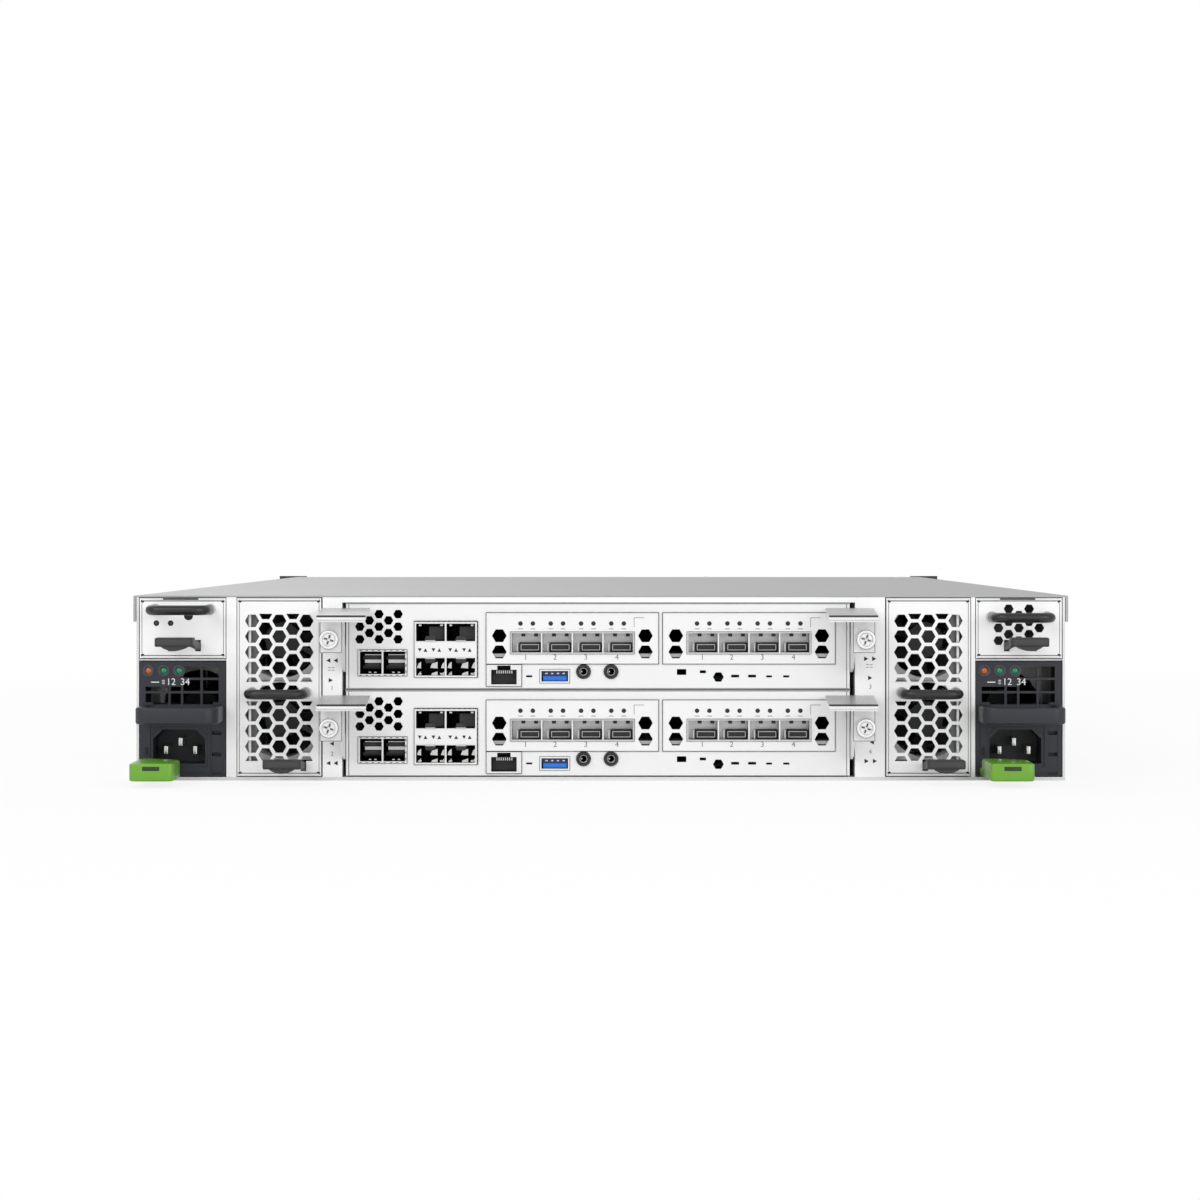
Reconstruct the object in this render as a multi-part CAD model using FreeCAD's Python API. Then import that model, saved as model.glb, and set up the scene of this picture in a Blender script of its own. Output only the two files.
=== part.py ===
import FreeCAD, Part
import math
import os

# Storage array, 2U high, 19-inch rack width, seen from its rear panel.
# Millimetres. +Z up, +X to the right of someone facing the rear panel, rear panel towards -Y.
# Origin: centre of the chassis underside.

Vec = FreeCAD.Vector

# Sheet metal
wall_sheet = 1.2
floor_sheet = 1.6
cover_sheet = 0.8
cover_lip_drop = 12.4
cover_lip_sheet = 1.2
bay_sheet = 1.0
shelf_sheet = 0.8

# Clearances
slide_gap = 0.4
lift_gap = 0.5
strip_gap = 0.7
seat_gap = 0.25
joint_gap = 0.35
pin_gap = 0.05
cover_gap = 0.3
fan_gap = 0.3

# Bays, from the left edge to the right edge
supply_width = 40.9
post_width = 4.8
right_post_width = 1.9
left_strip_width = 9.3
left_lever_gap = 1.9
controller_width = 240.2
right_lever_gap = 2.6
right_strip_width = 14.3

# Module heights and lengths
controller_height = 40.8
controller_gap = 0.8
runner_setback = 36.0
top_rail_height = 2.4
controller_length = 636.0
battery_height = 28.6
supply_length = 321.5
battery_setback = 21.5
fan_length = 108.0
face_sheet = 1.2
module_sheet = 1.0

# Battery pack inside its case
pack_side_gap = 3.0
pack_setback = 40.0
pack_back_gap = 10.0

# Front end
drive_count = 25
drive_side_margin = 2.8
divider_sheet = 0.8
carrier_face_depth = 14.0
drive_length = 104.0
drive_height = 70.0
drive_side_gap = 0.5
carrier_margin = 0.8
drive_lever_width = 7.0
drive_lever_thickness = 3.0
carrier_foot = 10.0
carrier_head = 9.0
board_sheet = 3.0
connector_depth = 5.0
drive_plug_reach = 42.6
midplane_slots = 3
midplane_slot_width = 52.0
midplane_slot_rise = 12.0
midplane_slot_height = 16.0
drive_plug_width = 5.0
drive_plug_rise = 8.0
drive_plug_height = 42.0

# Bus bars and sockets behind the supplies
bar_width = 4.0
bar_spread = 9.0
bar_low_z = 20.0
bar_height = 14.0
supply_socket_width = 24.0
supply_socket_low_z = 10.0
supply_socket_height = 12.0
battery_socket_width = 16.0
battery_socket_rise = 6.0
battery_socket_height = 8.0

# Rack ears
ear_sheet = 2.0
ear_reach = 19.8
ear_slot_inset = 8.75
ear_slot_margin = 5.95
ear_slot_length = 10.0
ear_slot_width = 6.8
ear_side_length = 60.0

# Honeycomb grille of a fan module
comb_flat = 5.95
comb_web = 1.55
comb_columns = 5
comb_top_margin = 7.4
comb_bottom_margin = 7.1
comb_first_drop = 3.4
comb_side_margin = 3.1
pad_below_middle = 6.8
pad_above_middle = 2.4

# Fans
fan_stack_margin = 3.6
fan_frame_depth = 28.0
fan_ring_wall = 0.8
fan_tip_gap = 0.7
fan_hub_radius = 8.6
fan_blades = 7
fan_blade_thickness = 0.9
fan_blade_chord = 12.0
fan_blade_pitch = 42.0
fan_blade_root_chord = 7.2
fan_blade_overlap = 1.0
fan_shaft_radius = 1.5
fan_face_gap = 6.0
rotor_depth = 11.0
rotor_shaft_length = 6.0
stator_arms = 3
stator_turn = 30.0
fan_stator_depth = 9.3
stator_arm_depth = 3.0
stator_arm_height = 2.4
stator_arm_overlap = 0.6
hub_sides = 12
bore_sides = 24
shaft_sides = 8

# Handles of coated wire
wire_thickness = 4.7
wire_reach = 22.0
wire_bend = 5.0
wire_bend_steps = 3
wire_sides = 8
fan_handle_margin = 9.7
fan_handle_drop = 2.6
left_battery_handle_drop = 5.3
right_battery_handle_drop = 8.9
battery_handle_margin = 10.0

# Sprung latches of fan modules and battery units
latch_width = 17.8
latch_reach = 36.0
latch_bar_height = 4.2
latch_bar_depth = 9.0
latch_arm_width = 2.0
latch_arm_inset = 1.4
latch_arm_height = 3.6
latch_root = 6.0
latch_pin_radius = 1.0
latch_slot_drop = 5.4
latch_bump_drop = 2.0
latch_bump_inset = 2.0
latch_bump_slope = 3.0
latch_pin_sides = 8
fan_latch_shift = 5.0
fan_latch_rise = 7.8
battery_latch_shift = 0.8
battery_latch_rise = 8.7

# Vents of the right-hand battery unit
battery_vent_columns = 5
battery_vent_rows = 3
battery_vent_flat = 4.18
battery_vent_pitch_x = 4.87
battery_vent_pitch_z = 6.06
battery_vent_drop = 5.1

# Power supply rear
supply_bezel_depth = 22.0
bezel_wall = 2.0
recess_rises = (9.4, 19.6)
recess_margin = 1.5
recess_width = 5.0
recess_height = 1.8
recess_depth = 3.0
inlet_width = 24.8
inlet_height = 16.3
inlet_chamfer = 4.5
inlet_depth = 17.0
inlet_shift = -1.7
inlet_rise = 14.0
inlet_pin_recess = 5.0
inlet_pin_width = 4.0
inlet_pin_thickness = 2.0
inlet_pin_spread = 7.0
inlet_pin_low = 2.0
inlet_pin_high = 2.0
inlet_back = 3.0
inlet_rim = 1.4
handle_band = 7.9
handle_rise = 25.9
handle_sheet = 4.0
handle_reach = 25.0
handle_bend = 5.6
handle_bend_share = 0.3
handle_inner_bend = 2.0
handle_margin = 1.8
green_width = 20.5
green_inset = 1.75
green_rise = 0.8
green_height = 8.3
green_reach = 45.0
green_root = 8.0
green_neck = 10.0
green_root_width = 6.0
green_root_height = 3.3
green_slot_width = 7.9
green_slot_height = 1.9
green_slot_depth = 3.0
green_slot_rise = 4.98
green_corner = 3.0
green_eye_sides = 16
green_shoulder = 10.0
green_overlap = 4.0
green_pin_radius = 1.5
green_swing = 1.6
grille_row_height = 5.3
grille_row_pitch = 6.4
grille_rows = 3
grille_short_height = 2.1
grille_short_columns = 2
grille_drop = 2.4
grille_bar = 1.1
grille_column_widths = (10.9, 4.9, 8.2, 7.6)
grille_left_inset = 2.7
light_bore_radius = 1.7
light_first_inset = 4.1
light_pitch = 7.3
light_count = 3
light_sides = 12
light_drop = 2.0
supply_fan_margin = 1.85
supply_fan_rise = 29.9
supply_fan_setback = 62.0
supply_ring_depth = 20.0
supply_stator_depth = 6.0

# Controller face, measured from the controller's left and lower edges
vent_flat = 4.04
vent_pitch_x = 4.56
vent_pitch_z = 6.0
vent_first_x = 6.54
vent_drop = 5.2
vent_columns = 5
vent_rows = 3
sas_x = 5.8
sas_z = 6.2
sas_width = 23.2
sas_height = 12.4
sas_depth = 30.0
sas_tongue_height = 1.6
sas_tongue_spread = 2.16
sas_tongue_margin = 1.0
sas_tongue_setback = 6.0
sas_wall = 0.8
sfp_x = 32.6
sfp_z = 5.5
sfp_width = 29.8
sfp_height = 26.4
sfp_port_height = 8.4
sfp_depth = 52.0
sfp_wall = 0.8
sfp_stop = 4.0
cage_proud = 0.5
module_x = 66.9
module_z = 11.9
module_gap = 2.1
module_right_margin = 7.0
module_top_margin = 4.6
module_depth = 150.0
module_hex_flat = 6.1
module_hex_x = 6.2
module_hex_z = (13.4, 5.7)
module_cage_x = 11.55
module_cage_z = 4.8
module_cage_height = 10.4
module_cage_depth = 52.0
module_ports = 4
module_cage_wall = 0.6
module_cage_stop = 1.0
module_core_margin = 2.0
module_board_margin = 2.0
module_board_sheet = 1.6
module_core_height = 4.4
module_core_depth = 10.0
net_x = 67.0
net_z = 1.3
net_width = 16.6
net_height = 10.2
net_open_width = 12.2
net_open_height = 7.0
net_step_width = 6.4
net_step_height = 2.0
net_depth = 16.0
net_floor = 0.8
socket_stop = 2.0
usb_x = 92.5
usb_z = 2.8
usb_width = 14.1
usb_height = 6.4
usb_wall = 0.7
usb_tongue = 1.8
usb_tongue_gap = 0.6
usb_tongue_setback = 1.0
jack_x = (113.25, 126.4)
jack_z = 8.2
jack_radius = 3.3
jack_bore_radius = 1.75
jack_sides = 16
jack_bore_sides = 12
button_slot = (controller_width - 82.4, 6.6, 4.5, 2.8)
light_slots = ((85.9, 5.5, 2.9, 0.95), (controller_width - 71.5, 7.4, 3.0, 1.4),
               (controller_width - 56.5, 5.4, 3.8, 1.3), (controller_width - 48.4, 5.4, 3.8, 1.3),
               (controller_width - 39.8, 5.4, 2.8, 1.0), (controller_width - 31.7, 5.4, 3.0, 1.0))
service_hex_x = controller_width - 62.6
service_hex_z = 5.6
service_hex_flat = 4.5

# Controller inside
main_board_z = 3.5
stand_size = 6.0
stand_inset = 8.0
stand_setback = 30.0
midplane_plug_width = 120.0
midplane_plug_depth = 12.0
midplane_plug_height = 12.0
main_board_sheet = 1.6
side_drop = 2.8
sink_size = 84.0
sink_inset = 23.0
sink_base = 4.0
sink_drop = 1.0
sink_fins = 7
sink_fin_sheet = 1.6
memory_count = 4
memory_pitch = 11.0
memory_length = 133.0
memory_head_room = 4.9
memory_gap = 20.0
memory_back_margin = 78.0
memory_sheet = 4.0

# Ejector levers
lever_sheet = 1.1
lever_pivot_back = 12.0
lever_pivot_z = 12.0
lever_pin_radius = 2.0
lever_pin_sides = 12
lever_reach = 20.0
lever_heel = 8.0
lever_shoulder_back = 4.0
lever_belly_reach = 8.0
lever_toe_reach = 16.0
lever_toe_drop = 1.0
lever_toe_rise = 3.0
lever_leg_drop = 23.0
lever_leg_width = 9.0
lever_grip_width = 23.0
lever_grip_over = 11.8
lever_grip_back = 2.0
lever_grip_reach = 30.0
lever_grip_back_drop = 2.4
lever_grip_front_drop = 5.6
lever_grip_sheet = 1.3
screw_head_radius = 4.7
screw_head_reach = 26.0
screw_collar_radius = 4.0
screw_collar_length = 4.5
screw_neck_radius = 3.2
screw_shank_radius = 1.9
screw_head_sides = 16
screw_neck_sides = 8
screw_shank_sides = 6
screw_drop = 16.6
screw_leg_shift = 4.5

# Sizes worked out from the modules that fill the chassis
controller_pitch = controller_height + controller_gap
fan_frame_size = controller_pitch - fan_stack_margin
fan_bore_radius = fan_frame_size / 2 - fan_ring_wall
fan_width = fan_frame_size + 2 * module_sheet
fan_handle_width = fan_width - fan_handle_margin
battery_handle_width = supply_width - battery_handle_margin
handle_width = supply_width - handle_margin
supply_fan_radius = supply_width / 2 - module_sheet - supply_fan_margin
comb_half_width = fan_width / 2 - comb_side_margin
height = (floor_sheet + lift_gap + controller_pitch + controller_height + slide_gap
          + top_rail_height + cover_sheet)
body_width = (2 * (wall_sheet + slide_gap + supply_width + slide_gap) + post_width + right_post_width
              + 2 * (slide_gap + fan_width + strip_gap) + left_strip_width + right_strip_width
              + left_lever_gap + controller_width + right_lever_gap)
cover_width = body_width + 2 * (cover_lip_sheet + cover_gap)
rack_width = body_width + 2 * ear_reach
ear_slot_pitch_x = rack_width - 2 * ear_slot_inset
ear_slot_pitch_z = height - 2 * ear_slot_margin
depth = (controller_length + slide_gap + board_sheet + drive_plug_reach + drive_length
         + carrier_face_depth)
battery_length = supply_length - battery_setback
drive_pitch = (body_width - 2 * (wall_sheet + drive_side_margin)) / drive_count
drive_thickness = drive_pitch - divider_sheet - carrier_margin - 2 * drive_side_gap
module_width = (controller_width - module_x - module_right_margin - module_gap) / 2
module_pitch = module_width + module_gap
module_cage_width = module_width - 2 * module_cage_x
module_height = controller_height - module_z - module_top_margin
vent_first_z = controller_height - vent_drop
side_height = controller_height - side_drop
memory_height = side_height - main_board_z - main_board_sheet - memory_head_room
sink_height = memory_height - sink_drop
lever_leg_low = controller_height - lever_leg_drop
lever_grip_back_z = controller_height - lever_grip_back_drop
lever_grip_front_z = controller_height - lever_grip_front_drop
screw_z = controller_height - screw_drop

# Places worked out from the sizes above
rear_y = -depth / 2
front_y = depth / 2
half_body = body_width / 2
cover_low = height - cover_sheet
module_low = floor_sheet + lift_gap
module_top = cover_low - slide_gap
fan_upper_z = module_top - module_sheet - fan_gap - fan_frame_size / 2
fan_lower_z = fan_upper_z - fan_frame_size - fan_gap
fan_middle_z = (module_low + module_top) / 2
fan_handle_z = fan_middle_z - fan_handle_drop
fan_latch_z = module_low + fan_latch_rise
pad_low_z = fan_middle_z - pad_below_middle
pad_high_z = fan_middle_z + pad_above_middle
comb_top_z = module_top - comb_top_margin
comb_first_z = comb_top_z - comb_first_drop
comb_bottom_z = module_low + comb_bottom_margin
battery_low = module_top - battery_height
battery_latch_z = battery_low + battery_latch_rise
left_battery_handle_z = module_top - left_battery_handle_drop
right_battery_handle_z = module_top - right_battery_handle_drop
shelf_low = battery_low - slide_gap - shelf_sheet
supply_height = shelf_low - slide_gap - module_low
inlet_z = module_low + inlet_rise
handle_low_z = module_low + handle_rise
green_low_z = module_low + green_rise
grille_top_z = module_low + supply_height - grille_drop
light_z = grille_top_z - light_drop
supply_fan_z = module_low + supply_fan_rise
left_supply_x = -half_body + wall_sheet + slide_gap
left_post_x = left_supply_x + supply_width + slide_gap
left_fan_x = left_post_x + post_width + slide_gap
left_strip_x = left_fan_x + fan_width + strip_gap
controller_x = left_strip_x + left_strip_width + left_lever_gap
controller_right = controller_x + controller_width
right_strip_x = controller_right + right_lever_gap
right_fan_x = right_strip_x + right_strip_width + strip_gap
right_post_x = right_fan_x + fan_width + slide_gap
right_post_end = right_post_x + right_post_width
right_supply_x = right_post_end + slide_gap
midplane_y = rear_y + controller_length + slide_gap
drive_back_y = front_y - carrier_face_depth - drive_length
power_board_y = rear_y + supply_length + slide_gap + connector_depth
comb_pitch_z = comb_flat + comb_web
comb_pitch_x = comb_pitch_z * math.sqrt(3) / 2


def box(x0, x1, y0, y1, z0, z1):
    return Part.makeBox(x1 - x0, y1 - y0, z1 - z0, Vec(x0, y0, z0))


def flat_face(corners):
    return Part.Face(Part.makePolygon(corners + corners[:1]))


def outline_xz(points, y0, y1):
    """Closed outline of (x, z) points carried from y0 to y1."""
    corners = [Vec(x, y0, z) for x, z in points]
    return flat_face(corners).extrude(Vec(0, y1 - y0, 0))


def outline_yz(points, x0, x1):
    """Closed outline of (y, z) points carried from x0 to x1."""
    corners = [Vec(x0, y, z) for y, z in points]
    return flat_face(corners).extrude(Vec(x1 - x0, 0, 0))


def outline_xy(points, z0, z1):
    """Closed outline of (x, y) points carried from z0 to z1."""
    corners = [Vec(x, y, z0) for x, y in points]
    return flat_face(corners).extrude(Vec(0, 0, z1 - z0))


def ring_points(x, z, radius, sides):
    turns = [2 * math.pi * n / sides for n in range(sides)]
    return [(x + radius * math.cos(a), z + radius * math.sin(a)) for a in turns]


def hexagon(x, z, flat, y0, y1):
    """Hexagon with flat top and bottom, flat apart from side to side."""
    return outline_xz(ring_points(x, z, flat / math.sqrt(3), 6), y0, y1)


def many_sided(x, z, radius, sides, y0, y1):
    """Prism along Y whose flats lie at the radius."""
    return outline_xz(ring_points(x, z, radius / math.cos(math.pi / sides), sides), y0, y1)


def many_sided_x(y, z, radius, sides, x0, x1):
    """Prism along X whose flats lie at the radius."""
    return outline_yz(ring_points(y, z, radius / math.cos(math.pi / sides), sides), x0, x1)


def pin_x(y, z, radius, sides, x0, x1):
    """Prism along X whose corners lie at the radius, to turn inside a bore."""
    return outline_yz(ring_points(y, z, radius, sides), x0, x1)


def round_y(x, z, radius, y0, y1):
    return Part.makeCylinder(radius, y1 - y0, Vec(x, y0, z), Vec(0, 1, 0))


def round_z(x, y, radius, z0, z1):
    return Part.makeCylinder(radius, z1 - z0, Vec(x, y, z0))


def joined(shapes):
    return shapes[0].multiFuse(shapes[1:]).removeSplitter()


def save(name, shape):
    if not shape.isValid():
        print("not valid:", name)
    shape.exportStep("parts/" + name + ".step")
    print(name, "solids", len(shape.Solids))


# Chassis

def chassis_tray():
    """Floor and two side walls folded from one sheet, with the rear edge open for the modules."""
    floor = box(-half_body, half_body, rear_y, front_y - ear_sheet, 0, floor_sheet)
    left = box(-half_body, -half_body + wall_sheet, rear_y, front_y - ear_sheet, 0, cover_low)
    right = box(half_body - wall_sheet, half_body, rear_y, front_y - ear_sheet, 0, cover_low)
    return joined([floor, left, right])


def top_cover():
    """Flat cover whose side lips hang over the chassis walls."""
    front = front_y - ear_side_length
    half = cover_width / 2
    low = height - cover_lip_drop
    top = box(-half, half, rear_y, front, cover_low, height)
    left = box(-half, -half + cover_lip_sheet, rear_y, front, low, height)
    right = box(half - cover_lip_sheet, half, rear_y, front, low, height)
    return joined([top, left, right])


def hollow_post(x0, x1, y1):
    """Post between two bays: a face strip and two walls that run back from it."""
    face = box(x0, x1, rear_y, rear_y + bay_sheet, floor_sheet, cover_low)
    near = box(x0, x0 + bay_sheet, rear_y, y1, floor_sheet, cover_low)
    far = box(x1 - bay_sheet, x1, rear_y, y1, floor_sheet, cover_low)
    return joined([face, near, far])


def bay_frame():
    """Posts, strips, shelves, runners and the cross rail above the controllers."""
    left_inner = -half_body + wall_sheet
    back = power_board_y - slide_gap
    runner_low = module_low + controller_pitch - joint_gap - bay_sheet
    runner_high = module_low + controller_pitch - joint_gap
    runner_start = rear_y + runner_setback
    left_edge = left_strip_x + left_strip_width
    pieces = [hollow_post(left_post_x, left_post_x + post_width, back)]
    pieces.append(hollow_post(left_strip_x, left_edge, midplane_y))
    pieces.append(hollow_post(right_strip_x, right_strip_x + right_strip_width, midplane_y))
    pieces.append(box(right_post_x, right_post_end, rear_y, back, floor_sheet, cover_low))
    shelf_high = shelf_low + shelf_sheet
    pieces.append(box(left_inner, left_post_x, rear_y + face_sheet, back, shelf_low, shelf_high))
    pieces.append(box(right_post_end, -left_inner, rear_y + face_sheet, back, shelf_low, shelf_high))
    rail_low = module_low + controller_pitch + controller_height + slide_gap
    rail_back = rear_y + lever_pivot_back
    pieces.append(box(left_edge, right_strip_x, rear_y, rail_back, rail_low, cover_low))
    runner_in = left_lever_gap + module_sheet + bay_sheet
    pieces.append(box(left_edge, left_edge + runner_in, runner_start, midplane_y,
                      runner_low, runner_high))
    pieces.append(box(right_strip_x - right_lever_gap - module_sheet - bay_sheet, right_strip_x,
                      runner_start, midplane_y, runner_low, runner_high))
    fan_back = rear_y + fan_length + slide_gap
    for x0, x1, low_x in ((left_post_x + post_width, left_strip_x, left_fan_x),
                          (right_fan_x - strip_gap, right_post_x, right_fan_x)):
        plate = box(x0, x1, fan_back, fan_back + bay_sheet, floor_sheet, cover_low)
        middle = low_x + fan_width / 2
        for z in (fan_lower_z, fan_upper_z):
            half = fan_frame_size / 2 - wall_sheet
            plate = plate.cut(box(middle - half, middle + half, fan_back, fan_back + bay_sheet,
                                  z - half, z + half))
        pieces.append(plate)
    return joined(pieces)


def midplane():
    """Circuit board across the chassis, with air openings and connectors on both sides."""
    half = half_body - wall_sheet - seat_gap
    y1 = midplane_y + board_sheet
    board = box(-half, half, midplane_y, y1, floor_sheet, cover_low)
    slots = []
    for level in range(2):
        low = module_low + level * controller_pitch + main_board_z
        for column in range(midplane_slots):
            middle = controller_x + controller_width * (column + 0.5) / midplane_slots
            x = middle - midplane_slot_width / 2
            slot_low = low + midplane_slot_rise
            slots.append(box(x, x + midplane_slot_width, midplane_y, y1,
                             slot_low, slot_low + midplane_slot_height))
    board = board.cut(slots)
    plugs = []
    for n in range(drive_count):
        x = drive_middle(n) - drive_plug_width / 2
        low = floor_sheet + drive_plug_rise
        plugs.append(box(x, x + drive_plug_width, y1, drive_back_y - joint_gap,
                         low, low + drive_plug_height))
    return Part.makeCompound([board] + plugs)


def power_boards():
    """Backplane of each supply bay, with the two bus bars that run to the midplane."""
    solids = []
    for low_x in (left_supply_x, right_supply_x):
        x0 = low_x - slide_gap + seat_gap
        x1 = low_x + supply_width + slide_gap - seat_gap
        y1 = power_board_y + board_sheet
        board = box(x0, x1, power_board_y, y1, floor_sheet, cover_low)
        middle = low_x + supply_width / 2
        bars = []
        for side in (-1, 1):
            x = middle + side * bar_spread - bar_width / 2
            bars.append(box(x, x + bar_width, y1, midplane_y, bar_low_z, bar_low_z + bar_height))
        socket_y = power_board_y - connector_depth
        socket = box(middle - supply_socket_width / 2, middle + supply_socket_width / 2, socket_y,
                     power_board_y, supply_socket_low_z, supply_socket_low_z + supply_socket_height)
        socket_low = battery_low + battery_socket_rise
        battery_socket = box(middle - battery_socket_width / 2, middle + battery_socket_width / 2,
                             socket_y, power_board_y, socket_low, socket_low + battery_socket_height)
        solids.append(joined([board, socket, battery_socket] + bars))
    return Part.makeCompound(solids)


# Drive bay at the front

cage_half = (drive_count * drive_pitch + divider_sheet) / 2
cage_low = floor_sheet + shelf_sheet
cage_high = cover_low - shelf_sheet
carrier_width = drive_pitch - divider_sheet - carrier_margin
carrier_low = cage_low + slide_gap
carrier_high = cage_high - slide_gap


def drive_cage():
    """Open-fronted cage: floor, roof and one divider between each two drives."""
    y0 = drive_back_y
    y1 = front_y - ear_sheet
    half = half_body - wall_sheet
    floor = box(-half, half, y0, y1, floor_sheet, cage_low)
    roof = box(-half, half, y0, y1, cage_high, cover_low)
    plates = []
    for n in range(drive_count + 1):
        x = -cage_half + n * drive_pitch
        plates.append(box(x, x + divider_sheet, y0, y1, cage_low, cage_high))
    return joined([floor, roof] + plates)


def drive_middle(n):
    return (n - (drive_count - 1) / 2) * drive_pitch


def drive_carrier(n):
    """Carrier with its drive: face moulding with a vent recess, and the drive block behind it."""
    x = drive_middle(n)
    half = carrier_width / 2
    y0 = front_y - carrier_face_depth
    recess = front_y - drive_lever_thickness
    low = carrier_low + carrier_foot
    high = carrier_high - carrier_head
    face = outline_yz([(y0, carrier_low), (front_y, carrier_low), (front_y, low), (recess, low),
                       (recess, high), (front_y, high), (front_y, carrier_high), (y0, carrier_high)],
                      x - half, x + half)
    middle = (carrier_low + carrier_high) / 2
    drive = box(x - drive_thickness / 2, x + drive_thickness / 2, drive_back_y + joint_gap, y0,
                middle - drive_height / 2, middle + drive_height / 2)
    return joined([face, drive])


def drive_lever(n):
    """Release lever across the carrier face, hung on its lower end."""
    x0 = drive_middle(n) - drive_lever_width / 2
    x1 = x0 + drive_lever_width
    y0 = front_y - drive_lever_thickness + joint_gap
    low = carrier_low + carrier_foot + joint_gap
    high = carrier_high - carrier_head - joint_gap
    chamfer = drive_lever_thickness / 2
    return outline_yz([(y0, low + chamfer), (y0 + chamfer / 2, low + chamfer / 3),
                       (front_y, low + chamfer), (front_y, high), (y0, high)], x0, x1)


def rack_ear(side):
    """Rack ear: folded flange with two slots, and the side wing that carries it."""
    inner = half_body * side
    outer = rack_width / 2 * side
    x0 = min(inner, outer)
    x1 = max(inner, outer)
    flange = box(x0, x1, front_y - ear_sheet, front_y, 0, height)
    wing_outer = inner + side * ear_sheet
    wing = box(min(inner, wing_outer), max(inner, wing_outer), front_y - ear_side_length,
               front_y - ear_sheet, 0, height)
    ear = joined([flange, wing])
    half_run = (ear_slot_length - ear_slot_width) / 2
    radius = ear_slot_width / 2
    for z_side in (-1, 1):
        z = height / 2 + z_side * ear_slot_pitch_z / 2
        x = side * ear_slot_pitch_x / 2
        slot = box(x - half_run, x + half_run, front_y - ear_sheet, front_y, z - radius, z + radius)
        for end in (-1, 1):
            slot = slot.fuse(round_y(x + end * half_run, z, radius, front_y - ear_sheet, front_y))
        ear = ear.cut(slot)
    return ear


# Controllers

def controller_low(level):
    return module_low + level * controller_pitch


def face_box(level, x, z, width, tall, y0, y1):
    """Box given by its place on the controller's face."""
    left = controller_x + x
    low = controller_low(level) + z
    return box(left, left + width, y0, y1, low, low + tall)


def grown_face_box(level, x, z, width, tall, gap):
    return face_box(level, x - gap, z - gap, width + 2 * gap, tall + 2 * gap,
                    rear_y, rear_y + face_sheet)


def controller_face(level):
    """Perforated face plate with the openings for every socket, module and light."""
    low = controller_low(level)
    back = rear_y + face_sheet
    face = box(controller_x, controller_right, rear_y, back, low, low + controller_height)
    cuts = []
    for column in range(vent_columns):
        shift = column % 2
        for row in range(vent_rows - shift):
            z = low + vent_first_z - (row + shift / 2) * vent_pitch_z
            x = controller_x + vent_first_x + column * vent_pitch_x
            cuts.append(hexagon(x, z, vent_flat, rear_y, back))
    cuts.append(grown_face_box(level, sas_x, sas_z, sas_width, sas_height, seat_gap))
    cuts.append(grown_face_box(level, sfp_x, sfp_z, sfp_width, sfp_height, seat_gap))
    for n in range(2):
        x = module_x + n * module_pitch
        cuts.append(grown_face_box(level, x, module_z, module_width, module_height, seat_gap))
    cuts.append(grown_face_box(level, net_x, net_z, net_width, net_height - seat_gap, seat_gap))
    cuts.append(grown_face_box(level, usb_x, usb_z, usb_width, usb_height, seat_gap))
    for x in jack_x:
        cuts.append(many_sided(controller_x + x, low + jack_z, jack_radius + seat_gap, jack_sides,
                               rear_y, back))
    for x, z, width, tall in (button_slot,) + light_slots:
        cuts.append(face_box(level, x, z, width, tall, rear_y, back))
    cuts.append(hexagon(controller_x + service_hex_x, low + service_hex_z, service_hex_flat,
                        rear_y, back))
    return face.cut(cuts)


def controller_tray(level):
    """Folded tray behind the face plate, with a lever pin on each of its sides."""
    low = controller_low(level)
    back = rear_y + face_sheet
    y1 = rear_y + controller_length
    floor = box(controller_x, controller_right, back, y1, low, low + module_sheet)
    left = box(controller_x, controller_x + module_sheet, back, y1, low, low + side_height)
    right = box(controller_right - module_sheet, controller_right, back, y1, low, low + side_height)
    pin_y = rear_y + lever_pivot_back
    pin_z = low + lever_pivot_z
    reach = joint_gap + lever_sheet
    left_pin = pin_x(pin_y, pin_z, lever_pin_radius, lever_pin_sides, controller_x - reach, controller_x)
    right_pin = pin_x(pin_y, pin_z, lever_pin_radius, lever_pin_sides,
                      controller_right, controller_right + reach)
    return joined([floor, left, right, left_pin, right_pin])


def controller_board(level):
    """Main board with finned heat sinks, memory modules and the midplane connector."""
    low = controller_low(level)
    x0 = controller_x + module_sheet + seat_gap
    x1 = controller_right - module_sheet - seat_gap
    y0 = rear_y + net_depth
    y1 = rear_y + controller_length - connector_depth
    top = low + main_board_z + main_board_sheet
    board = box(x0, x1, y0, y1, low + main_board_z, top)
    parts = [board]
    for x in (x0 + stand_inset, x1 - stand_inset - stand_size):
        for y in (y0 + stand_setback, y1 - stand_setback):
            parts.append(box(x, x + stand_size, y, y + stand_size,
                             low + module_sheet, low + main_board_z))
    memory_y = y1 - memory_back_margin - memory_length
    sink_y = memory_y - memory_gap - sink_size
    half = sink_size / 2
    for middle in (controller_x + sink_inset + half, controller_right - sink_inset - half):
        parts.append(box(middle - half, middle + half, sink_y, sink_y + sink_size, top, top + sink_base))
        step = (sink_size - sink_fin_sheet) / (sink_fins - 1)
        for fin in range(sink_fins):
            x = middle - half + fin * step
            parts.append(box(x, x + sink_fin_sheet, sink_y, sink_y + sink_size,
                             top + sink_base, top + sink_height))
        for bank in range(memory_count):
            x = middle + (bank - (memory_count - 1) / 2) * memory_pitch
            parts.append(box(x - memory_sheet / 2, x + memory_sheet / 2, memory_y,
                             memory_y + memory_length, top, top + memory_height))
    middle = (x0 + x1) / 2
    parts.append(box(middle - midplane_plug_width / 2, middle + midplane_plug_width / 2,
                     y1 - midplane_plug_depth, y1 + connector_depth - joint_gap,
                     top, top + midplane_plug_height))
    return joined(parts)


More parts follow.
